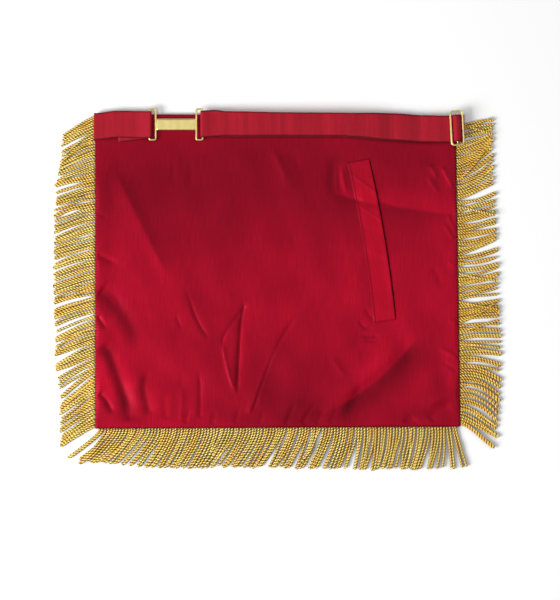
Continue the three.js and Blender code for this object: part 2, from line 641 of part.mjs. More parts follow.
add("front_panel", frontPanel(), satin);
add("back_lining", backLining(), satin);
add("pocket_welt", pocketWelt(), satin);
add("fringe_left", fringe("left"), bullion);
add("fringe_bottom", fringe("bottom"), bullion);
add("fringe_right", fringe("right"), bullion);
add("belt_left", leftWebbing(), tape);
add("belt_right", rightWebbing(), tape);
add("belt_slider", slider(), gilt, (mesh) => {
  mesh.position.set(sliderX, sliderY, sliderZ);
  mesh.rotation.z = SLIDER_TURN;
});
add("belt_clasp", clasp(), gilt, (mesh) => {
  const ends = [-1, 1].map((side) => webbingMiddle(claspX + (side * CLASP_LENGTH) / 2));
  mesh.position.set(claspX, (ends[0] + ends[1]) / 2, claspZ);
});

// The origin is the middle of the underside of the whole apron.
const whole = new THREE.Group();
whole.add(apron);
const box = new THREE.Box3().setFromObject(whole, true);
apron.position.set(-(box.min.x + box.max.x) / 2, -(box.min.y + box.max.y) / 2, -box.min.z);

export default whole;
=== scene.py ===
# Looks for the fringed ceremonial apron, lying face down. Shapes are worked out in millimetres and written
# to the meshes in metres.
import bpy
import numpy as np
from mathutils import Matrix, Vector


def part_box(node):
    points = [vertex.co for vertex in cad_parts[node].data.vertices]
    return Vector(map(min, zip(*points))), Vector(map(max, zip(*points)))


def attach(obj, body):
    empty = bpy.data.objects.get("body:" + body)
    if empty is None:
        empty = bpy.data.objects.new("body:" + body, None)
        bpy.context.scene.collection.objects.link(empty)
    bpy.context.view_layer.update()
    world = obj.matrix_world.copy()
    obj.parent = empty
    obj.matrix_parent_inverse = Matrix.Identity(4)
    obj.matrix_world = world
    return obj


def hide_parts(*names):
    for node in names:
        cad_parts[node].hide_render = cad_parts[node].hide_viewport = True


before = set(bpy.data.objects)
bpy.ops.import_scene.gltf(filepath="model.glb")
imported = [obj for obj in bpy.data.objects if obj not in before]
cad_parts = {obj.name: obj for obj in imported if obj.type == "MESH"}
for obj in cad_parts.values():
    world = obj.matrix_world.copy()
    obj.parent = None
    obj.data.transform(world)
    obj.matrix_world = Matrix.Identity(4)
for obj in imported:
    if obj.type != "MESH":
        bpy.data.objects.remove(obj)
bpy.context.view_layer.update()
mm = 0.001
fullTurn = 6.2832

# The flat cut of the apron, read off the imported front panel, and the levels of its layers
panelLow, panelHigh = (np.array(corner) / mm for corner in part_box("front_panel"))
apron = {
    "left": panelLow[0],
    "hem": panelLow[1],
    "waist": panelHigh[1],
    "width": panelHigh[0] - panelLow[0],
    "height": panelHigh[1] - panelLow[1],
    "waistNarrower": 5.5,  # the waist edge is this much shorter than the hem
    "waistFall": 2.7,  # its right end lies this much lower than its left
    "hemRise": 2.2,
    "panelThickness": 1.2,
    "seamUnder": 3.6,  # underside of the lining at the seams
    "liningThickness": 1.0,
}
seamTop = apron["seamUnder"] + apron["liningThickness"]


def smoothstep(x, low, high):
    # 0 below low, 1 above high, and 3t^2 - 2t^3 between them
    t = np.clip((x - low) / (high - low), 0, 1)
    return t * t * (3 - 2 * t)


def waistEdge(x):
    return apron["waist"] - apron["waistFall"] * (x - apron["left"]) / apron["width"]


def hemEdge(x):
    return apron["hem"] + apron["hemRise"] * (x - apron["left"]) / apron["width"]


hemCorner = np.array([apron["left"] + apron["width"], apron["hem"] + apron["hemRise"]])
waistCorner = np.array(
    [apron["left"] + apron["width"] - apron["waistNarrower"], apron["waist"] - apron["waistFall"]]
)


def rightEdge(y):
    # straight from the hem's right corner to the waist's
    (hemX, hemY), (waistX, waistY) = hemCorner, waistCorner
    return hemX + (waistX - hemX) * (y - hemY) / (waistY - hemY)


def fromSeams(x, y):
    # distance from the nearest of the three seams with a fringe
    return np.minimum.reduce([x - apron["left"], rightEdge(y) - x, y - hemEdge(x)])


def bell(offset, wide):
    return np.exp(-((offset / wide) ** 2))


def rounding(inside, reach):
    # 1 at a rim, falling to 0 at reach inside it along a quarter circle
    return 1 - np.sqrt(1 - (1 - np.clip(inside / reach, 0, 1)) ** 2)


def readTable(names, rows, at):
    # each column of a table at the places in at, eased from row to row with a smoothstep; the first column is
    # the rows' own place
    columns = np.array(rows, dtype=float).T
    index = np.clip(np.searchsorted(columns[0], at), 1, len(rows) - 1)
    t = smoothstep(at, columns[0][index - 1], columns[0][index])
    return {name: column[index - 1] + (column[index] - column[index - 1]) * t
            for name, column in zip(names, columns)}


def smoothPath(knots, count):
    # a Catmull-Rom curve through the knots, read at count places
    padded = np.concatenate([[2 * knots[0] - knots[1]], knots, [2 * knots[-1] - knots[-2]]])
    place = np.linspace(0, len(knots) - 1, count)
    i = np.minimum(place.astype(int), len(knots) - 2)
    t = (place - i)[:, None]
    a, b, c, d = padded[i], padded[i + 1], padded[i + 2], padded[i + 3]
    return 0.5 * (2 * b + (c - a) * t + (2 * a - 5 * b + 4 * c - d) * t**2 + (3 * b - a - 3 * c + d) * t**3)


def gridFaces(rows, columns, closedRows=False, closedColumns=False):
    # four-sided faces between neighbouring rows and columns, wrapping round where a direction is closed
    i = np.arange(rows if closedRows else rows - 1)[:, None]
    j = np.arange(columns if closedColumns else columns - 1)[None, :]
    nextI, nextJ = (i + 1) % rows, (j + 1) % columns
    corners = [i * columns + j, i * columns + nextJ, nextI * columns + nextJ, nextI * columns + j]
    return np.stack([np.broadcast_to(c, (i.size, j.size)) for c in corners], axis=-1).reshape(-1, 4)


def gridBorder(rows, columns):
    # the points round the edge of a grid
    index = np.arange(rows * columns).reshape(rows, columns)
    return np.concatenate([index[0, :-1], index[:-1, -1], index[-1, :0:-1], index[:0:-1, 0]])


def slabFaces(rows, columns):
    # an upper grid, the lower one turned over, and a rim that joins their borders
    upper = gridFaces(rows, columns)
    lower = upper[:, ::-1] + rows * columns
    border = gridBorder(rows, columns)
    after = np.roll(border, -1)
    rim = np.stack([after, border, border + rows * columns, after + rows * columns], axis=-1)
    return np.concatenate([upper, lower, rim])


def addObject(name, data):
    added = bpy.data.objects.new(name, data)
    bpy.context.collection.objects.link(added)
    return added


def makePiece(name, points, faces, node, material, uv=None, attributes=None, polygons=()):
    # one mesh object from arrays: points in millimetres, four-sided faces and a few longer ones, and values
    # for each point
    mesh = bpy.data.meshes.new(name)
    points = np.asarray(points, dtype=np.float64).reshape(-1, 3)
    corners = np.concatenate([faces.ravel(), *polygons]).astype(np.int32)
    longer = faces.size + np.cumsum([0] + [len(p) for p in polygons])
    starts = np.concatenate([np.arange(0, faces.size, 4), longer[:-1]]).astype(np.int32)
    mesh.vertices.add(len(points))
    mesh.vertices.foreach_set("co", (points * mm).astype(np.float32).ravel())
    mesh.loops.add(len(corners))
    mesh.loops.foreach_set("vertex_index", corners)
    mesh.polygons.add(len(starts))
    mesh.polygons.foreach_set("loop_start", starts)
    mesh.update(calc_edges=True)
    mesh.polygons.foreach_set("use_smooth", np.full(len(starts), True))
    if uv is not None:
        layer = mesh.uv_layers.new(name="UVMap")
        spread = (np.asarray(uv).reshape(-1, 2) * mm)[corners]
        layer.uv.foreach_set("vector", spread.astype(np.float32).ravel())
    for key, values in (attributes or {}).items():
        attribute = mesh.attributes.new(key, "FLOAT", "POINT")
        attribute.data.foreach_set("value", np.asarray(values, dtype=np.float32).ravel())
    mesh.validate()
    mesh.update()
    piece = addObject(name, mesh)
    mesh.materials.append(material)
    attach(piece, "root")
    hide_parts(node)
    return piece


def makeSlab(name, first, second, uv, node, material, attributes=None):
    # two equal grids of points, joined at their borders; values for one grid are used for both
    points = np.concatenate([first.reshape(-1, 3), second.reshape(-1, 3)])
    doubled = {key: np.resize(values, len(points)) for key, values in (attributes or {}).items()}
    return makePiece(name, points, slabFaces(*first.shape[:2]), node, material,
                     uv=np.resize(uv, (len(points), 2)), attributes=doubled)


def newGroup(name, inputs, outputs):
    # an empty node group with named sockets: (name, kind, value) for an input, (name, kind) for an output
    group = bpy.data.node_groups.new(name, "ShaderNodeTree")
    for socketName, kind, value in inputs:
        socket = group.interface.new_socket(socketName, in_out="INPUT", socket_type="NodeSocket" + kind)
        if value is not None:
            socket.default_value = value
    for socketName, kind in outputs:
        group.interface.new_socket(socketName, in_out="OUTPUT", socket_type="NodeSocket" + kind)
    return group, group.nodes.new("NodeGroupInput"), group.nodes.new("NodeGroupOutput")


def addNode(tree, kind, values=None, **settings):
    # a node with its settings, and its inputs set to numbers or linked to sockets
    node = tree.nodes.new("ShaderNode" + kind)
    for key, value in settings.items():
        setattr(node, key, value)
    for key, value in (values or {}).items():
        if isinstance(value, bpy.types.NodeSocket):
            tree.links.new(value, node.inputs[key])
        else:
            node.inputs[key].default_value = value
    return node


def maths(tree, operation, first, second=None, third=None):
    inputs = {i: v for i, v in enumerate((first, second, third)) if v is not None}
    return addNode(tree, "Math", inputs, operation=operation).outputs[0]


def mixColours(tree, share, first, second):
    return addNode(tree, "Mix", {0: share, 6: first, 7: second}, data_type="RGBA").outputs[2]


def useGroup(tree, group, values):
    return addNode(tree, "Group", values, node_tree=group)


def readAttribute(tree, name):
    return addNode(tree, "Attribute", attribute_name=name).outputs["Fac"]


def mapRange(tree, value, low, high, first, last, kind="SMOOTHSTEP"):
    return addNode(tree, "MapRange", {0: value, 1: low, 2: high, 3: first, 4: last},
                   interpolation_type=kind).outputs[0]


def scaleVector(tree, vector, gain):
    return addNode(tree, "VectorMath", {0: vector, "Scale": gain}, operation="SCALE").outputs[0]


def noiseAt(tree, place, scale, detail, roughness=0.5, stretch=None):
    # noise, finer along the directions in which the place is stretched
    if stretch:
        place = addNode(tree, "VectorMath", {0: place, 1: stretch}, operation="MULTIPLY").outputs[0]
    return addNode(tree, "TexNoise", {"Vector": place, "Scale": scale, "Detail": detail,
                                      "Roughness": roughness}).outputs[0]


def threadTones(tree, share, colour, spread):
    # from a darker to a lighter tone of a colour
    darker = tuple(c * (1 - spread) for c in colour[:3]) + (1,)
    return mixColours(tree, share, darker, tuple(min(c * (1 + spread), 1) for c in colour[:3]) + (1,))


# Weave: two sets of threads as sine waves along U and V, with the warp floating over the weft. Height is
# their weighted sum, broken up by noise, and Tone varies slowly from thread to thread.
weave, weaveIn, weaveOut = newGroup(
    "weave",
    [("Vector", "Vector", None), ("Warp Pitch", "Float", 0.0003), ("Weft Pitch", "Float", 0.0006),
     ("Float Share", "Float", 0.7), ("Unevenness", "Float", 0.4)],
    [("Height", "Float"), ("Tone", "Float")],
)
weaveXyz = addNode(weave, "SeparateXYZ", {0: weaveIn.outputs["Vector"]})
weaveWarp, weaveWeft = (
    maths(weave, "SINE", maths(weave, "DIVIDE", maths(weave, "MULTIPLY", weaveXyz.outputs[axis], fullTurn),
                               weaveIn.outputs[pitch]))
    for axis, pitch in enumerate(("Warp Pitch", "Weft Pitch"))
)
weaveSum = addNode(weave, "Mix", {0: weaveIn.outputs["Float Share"], 2: weaveWeft, 3: weaveWarp}).outputs[0]
weaveSlub = noiseAt(weave, weaveIn.outputs["Vector"], 1.0, 2.0, stretch=(700.0, 45.0, 1.0))
weaveRough = maths(weave, "MULTIPLY", maths(weave, "SUBTRACT", weaveSlub, 0.5), weaveIn.outputs["Unevenness"])
weave.links.new(maths(weave, "MULTIPLY_ADD", weaveSum, 0.5, weaveRough), weaveOut.inputs["Height"])
weave.links.new(weaveSlub, weaveOut.inputs["Tone"])

# Handling: broad soft patches that darken or lighten a cloth and make it a little duller
handling, handlingIn, handlingOut = newGroup(
    "handling",
    [("Vector", "Vector", None), ("Color", "Color", (0.5, 0.5, 0.5, 1)), ("Patch Size", "Float", 0.08),
     ("Amount", "Float", 0.15), ("Base Roughness", "Float", 0.5)],
    [("Color", "Color"), ("Roughness", "Float")],
)
handlingScale = maths(handling, "DIVIDE", 1.0, handlingIn.outputs["Patch Size"])
handlingPatch = noiseAt(handling, handlingIn.outputs["Vector"], handlingScale, 3.0, 0.55)
handlingValue = maths(handling, "MULTIPLY", maths(handling, "SUBTRACT", handlingPatch, 0.5),
                      handlingIn.outputs["Amount"])
handlingGain = maths(handling, "MULTIPLY_ADD", handlingValue, 4.0, 1.0)
handlingColour = scaleVector(handling, handlingIn.outputs["Color"], handlingGain)
handling.links.new(handlingColour, handlingOut.inputs["Color"])
handling.links.new(maths(handling, "ADD", handlingIn.outputs["Base Roughness"], handlingValue),
                   handlingOut.inputs["Roughness"])


def newMaterial(name, **constants):
    # the numbers and colours that are the same all over, set on the shader's own sockets
    material = bpy.data.materials.new(name)
    material.use_nodes = True
    shader = material.node_tree.nodes["Principled BSDF"]
    for key, value in constants.items():
        shader.inputs[key.replace("_", " ")].default_value = value
    return material, material.node_tree, shader


def addHandling(tree, shader, place, colour, patchSize, amount, roughness):
    # the handled colour, with the handled roughness linked to the shader
    worn = useGroup(tree, handling, {"Vector": place, "Color": colour, "Patch Size": patchSize,
                                     "Amount": amount, "Base Roughness": roughness})
    tree.links.new(worn.outputs["Roughness"], shader.inputs["Roughness"])
    return worn.outputs["Color"]


def addBump(tree, shader, height, strength, distance, under=None):
    # under is a bump that lies below this one
    node = addNode(tree, "Bump", {"Height": height, "Strength": strength, "Distance": distance})
    if under is not None:
        tree.links.new(under.outputs[0], node.inputs["Normal"])
    tree.links.new(node.outputs[0], shader.inputs["Normal"])
    return node


satin = {
    "warpPitch": 0.00035,
    "weftPitch": 0.0009,
    "tones": 0.34,  # from thread to thread
    "dark": (0.03, 0.0008, 0.003, 1),  # painted shade down in a seam, in a closed fold and in the pocket's mouth
    "wobble": 2.2,  # of the ribs beside a seam, in radians
    "ribHeight": 0.0006,
    "notch": (0.0003, 0.0021, 0.8),  # a painted shadow line just inside the seam: from and to this far inside it, and how dark
    "notchWave": 0.0007,
}


def satinMaterial(name, colour, roughness, seamRibs=None, shaded=False):
    # satin: fine warp floats and soft patches of sheen. Shaded cloth also has the mesh's painted light and
    # shade, and painted shade in closed folds, along stitching and in the pocket's mouth; seamRibs are where
    # the cords are sewn in, with a painted shadow line just inside the seam
    material, tree, shader = newMaterial(
        name, Sheen_Weight=0.06, Sheen_Roughness=0.35, Sheen_Tint=(1.0, 0.06, 0.13, 1),
        Specular_Tint=(1.0, 0.065, 0.14, 1), Specular_IOR_Level=0.85,
    )
    uvMap = addNode(tree, "UVMap", uv_map="UVMap")
    place = addNode(tree, "TexCoord").outputs["Object"]
    cloth = useGroup(tree, weave, {"Vector": uvMap.outputs[0], "Warp Pitch": satin["warpPitch"],
                                   "Weft Pitch": satin["weftPitch"], "Float Share": 0.75, "Unevenness": 0.8})
    toned = threadTones(tree, cloth.outputs["Tone"], colour, satin["tones"])
    clothColour = addHandling(tree, shader, place, toned, 0.05, 0.11, roughness)
    under = addBump(tree, shader, cloth.outputs["Height"], 0.25, 0.00008)
    if shaded:
        # painted shade: closed folds, stitching and the pocket's mouth
        dark = readAttribute(tree, "paintedShade")
        clothColour = scaleVector(tree, clothColour, readAttribute(tree, "paintedLight"))
        if seamRibs:
            inward = readAttribute(tree, "fromSeam")
            turned = maths(tree, "MULTIPLY", readAttribute(tree, "alongSeam"), fullTurn / seamRibs["pitch"])
            wave = maths(tree, "SINE", maths(tree, "MULTIPLY_ADD", noiseAt(tree, place, 90.0, 1.0),
                                             satin["wobble"], turned))
            band = mapRange(tree, inward, seamRibs["reach"], seamRibs["reach"] * 0.3, 0.0, 1.0)
            addBump(tree, shader, maths(tree, "MULTIPLY", wave, band), seamRibs["strength"],
                    satin["ribHeight"], under)
            low, high, deepest = satin["notch"]
            notch = mapRange(tree, maths(tree, "MULTIPLY_ADD", wave, satin["notchWave"], inward), low, high,
                             deepest, 0.0)
            dark = maths(tree, "MAXIMUM", notch, dark)
        clothColour = mixColours(tree, dark, clothColour, satin["dark"])
    tree.links.new(clothColour, shader.inputs["Base Color"])
    return material


def webbingMaterial(name, colour, ribPitch, halfWidth, selvage):
    # webbing: fine ribs across its length, soft random bands, painted light and shade where it bends, and a
    # firmer selvage at both edges with a thin line inside it; the selvage is painted a little darker as
    # shade, with a painted shadow line along both rims
    material, tree, shader = newMaterial(
        name, Sheen_Weight=0.08, Sheen_Roughness=0.5, Sheen_Tint=(1.0, 0.18, 0.24, 1),
        Specular_Tint=(1.0, 0.15, 0.2, 1),
    )
    uvMap = addNode(tree, "UVMap", uv_map="UVMap")
    place = addNode(tree, "TexCoord").outputs["Object"]
    cloth = useGroup(tree, weave, {"Vector": uvMap.outputs[0], "Warp Pitch": ribPitch, "Weft Pitch": 0.0011,
                                   "Float Share": 0.72, "Unevenness": 0.5})
    across = addNode(tree, "SeparateXYZ", {0: uvMap.outputs[0]}).outputs[1]
    fromMiddle = maths(tree, "ABSOLUTE", maths(tree, "SUBTRACT", across, halfWidth))
    inside = halfWidth - selvage
    edge = mapRange(tree, fromMiddle, inside, inside + 0.0004, 0.0, 1.0)
    line = maths(tree, "ABSOLUTE", maths(tree, "SUBTRACT", fromMiddle, inside))
    groove = mapRange(tree, line, 0.0002, 0.0007, 1.0, 0.0)
    # painted shadow line along both rims
    rimShadow = mapRange(tree, fromMiddle, halfWidth - 0.0017, halfWidth - 0.0005, 1.0, 0.24)
    bands = noiseAt(tree, uvMap.outputs[0], 1.0, 3.0, 0.6, (95.0, 6.0, 1.0))
    ribs = mapRange(tree, cloth.outputs["Height"], -0.5, 0.35, 0.8, 1.0, "LINEAR")
    gain = maths(tree, "MULTIPLY", mapRange(tree, bands, 0.3, 0.7, 0.8, 1.15, "LINEAR"), ribs)
    lined = maths(tree, "MULTIPLY_ADD", groove, -0.1, maths(tree, "MULTIPLY_ADD", edge, -0.08, 1.0))
    for factor in (lined, rimShadow, readAttribute(tree, "bent")):
        gain = maths(tree, "MULTIPLY", gain, factor)
    toned = scaleVector(tree, threadTones(tree, cloth.outputs["Tone"], colour, 0.14), gain)
    tree.links.new(addHandling(tree, shader, place, toned, 0.03, 0.05, 0.58), shader.inputs["Base Color"])
    under = addBump(tree, shader, cloth.outputs["Height"], 0.55, 0.00018)
    addBump(tree, shader, edge, 0.15, 0.0002, under)
    return material


def bullionMaterial(name, colours):
    # bullion cord: metal thread over a yellow core, with painted shade in the groove between the two plies
    # and darker painted shade deep between two cords, on their lower flanks and at their roots
    material, tree, shader = newMaterial(name, Specular_IOR_Level=1.0, Metallic=0.1,
                                         Specular_Tint=(1.0, 0.8, 0.4, 1))
    place = addNode(tree, "TexCoord").outputs["Object"]
    fine = noiseAt(tree, place, 1800.0, 1.0)
    patch = noiseAt(tree, place, 60.0, 2.0)
    shadeHere = maths(tree, "MULTIPLY_ADD", maths(tree, "SUBTRACT", patch, 0.5), 1.4,
                      readAttribute(tree, "shade"))
    toned = mixColours(tree, shadeHere, colours["dark"], colours["light"])
    ply = maths(tree, "MULTIPLY_ADD", maths(tree, "SUBTRACT", fine, 0.5), 0.4, readAttribute(tree, "ply"))
    plied = mixColours(tree, mapRange(tree, ply, 0.2, 0.62, 0.0, 1.0), colours["groove"], toned)
    plied = mixColours(tree, readAttribute(tree, "unshaded"), colours["between"], plied)
    tree.links.new(addHandling(tree, shader, place, plied, 0.02, 0.08, 0.33), shader.inputs["Base Color"])
    wound = maths(tree, "MULTIPLY_ADD", readAttribute(tree, "along"), fullTurn / colours["threadPitch"],
                  maths(tree, "MULTIPLY", fine, 4.0))
    addBump(tree, shader, maths(tree, "SINE", wound), 0.35, 0.00006)
    return material


def giltMaterial(name, colour):
    # thin pale gold plate: faint polishing lines and slightly duller patches
    material, tree, shader = newMaterial(name, Metallic=1.0)
    place = addNode(tree, "TexCoord").outputs["Object"]
    lines = noiseAt(tree, place, 1.0, 3.0, stretch=(900.0, 160.0, 900.0))
    tree.links.new(addHandling(tree, shader, place, colour, 0.006, 0.1, 0.34), shader.inputs["Base Color"])
    addBump(tree, shader, lines, 0.08, 0.00002)
    return material


# Front panel: hidden face down, so a plain sheet with a turned edge
front = {"colour": (0.27, 0.004, 0.016, 1), "columns": 60, "rows": 52, "edge": 0.45}
frontSatin = satinMaterial("frontSatin", front["colour"], 0.42)


def panelPoint(u, v):
    # bilinear blend of the panel's four corners
    bottomX = apron["left"] + u * apron["width"]
    topX = apron["left"] + u * (apron["width"] - apron["waistNarrower"])
    bottomY = apron["hem"] + u * apron["hemRise"]
    topY = apron["waist"] - u * apron["waistFall"]
    return bottomX + (topX - bottomX) * v, bottomY + (topY - bottomY) * v


def edgeShares(count, fine, reach):
    # shares from 0 to 1 with a closer spacing within reach of both ends
    near = np.linspace(0, reach, fine, endpoint=False)
    return np.concatenate([near, np.linspace(reach, 1 - reach, count), 1 - near[::-1]])


def makeFront():
    # the plain panel between two levels, with its upper and lower faces drawn together at the rim
    u, v = np.meshgrid(edgeShares(front["columns"], 4, 0.006), edgeShares(front["rows"], 4, 0.006))
    x, y = panelPoint(u, v)
    inside = np.minimum.reduce([u, 1 - u, v, 1 - v]) * apron["width"]
    full = smoothstep(inside, -front["edge"], 1.5)
    middle = apron["panelThickness"] / 2
    upper = np.stack([x, y, middle + middle * full], axis=-1)
    lower = np.stack([x, y, middle - middle * full], axis=-1)
    return makeSlab("front_cloth", upper, lower, np.stack([x, y], axis=-1), "front_panel",
                    frontSatin)


frontCloth = makeFront()
print("front panel made")

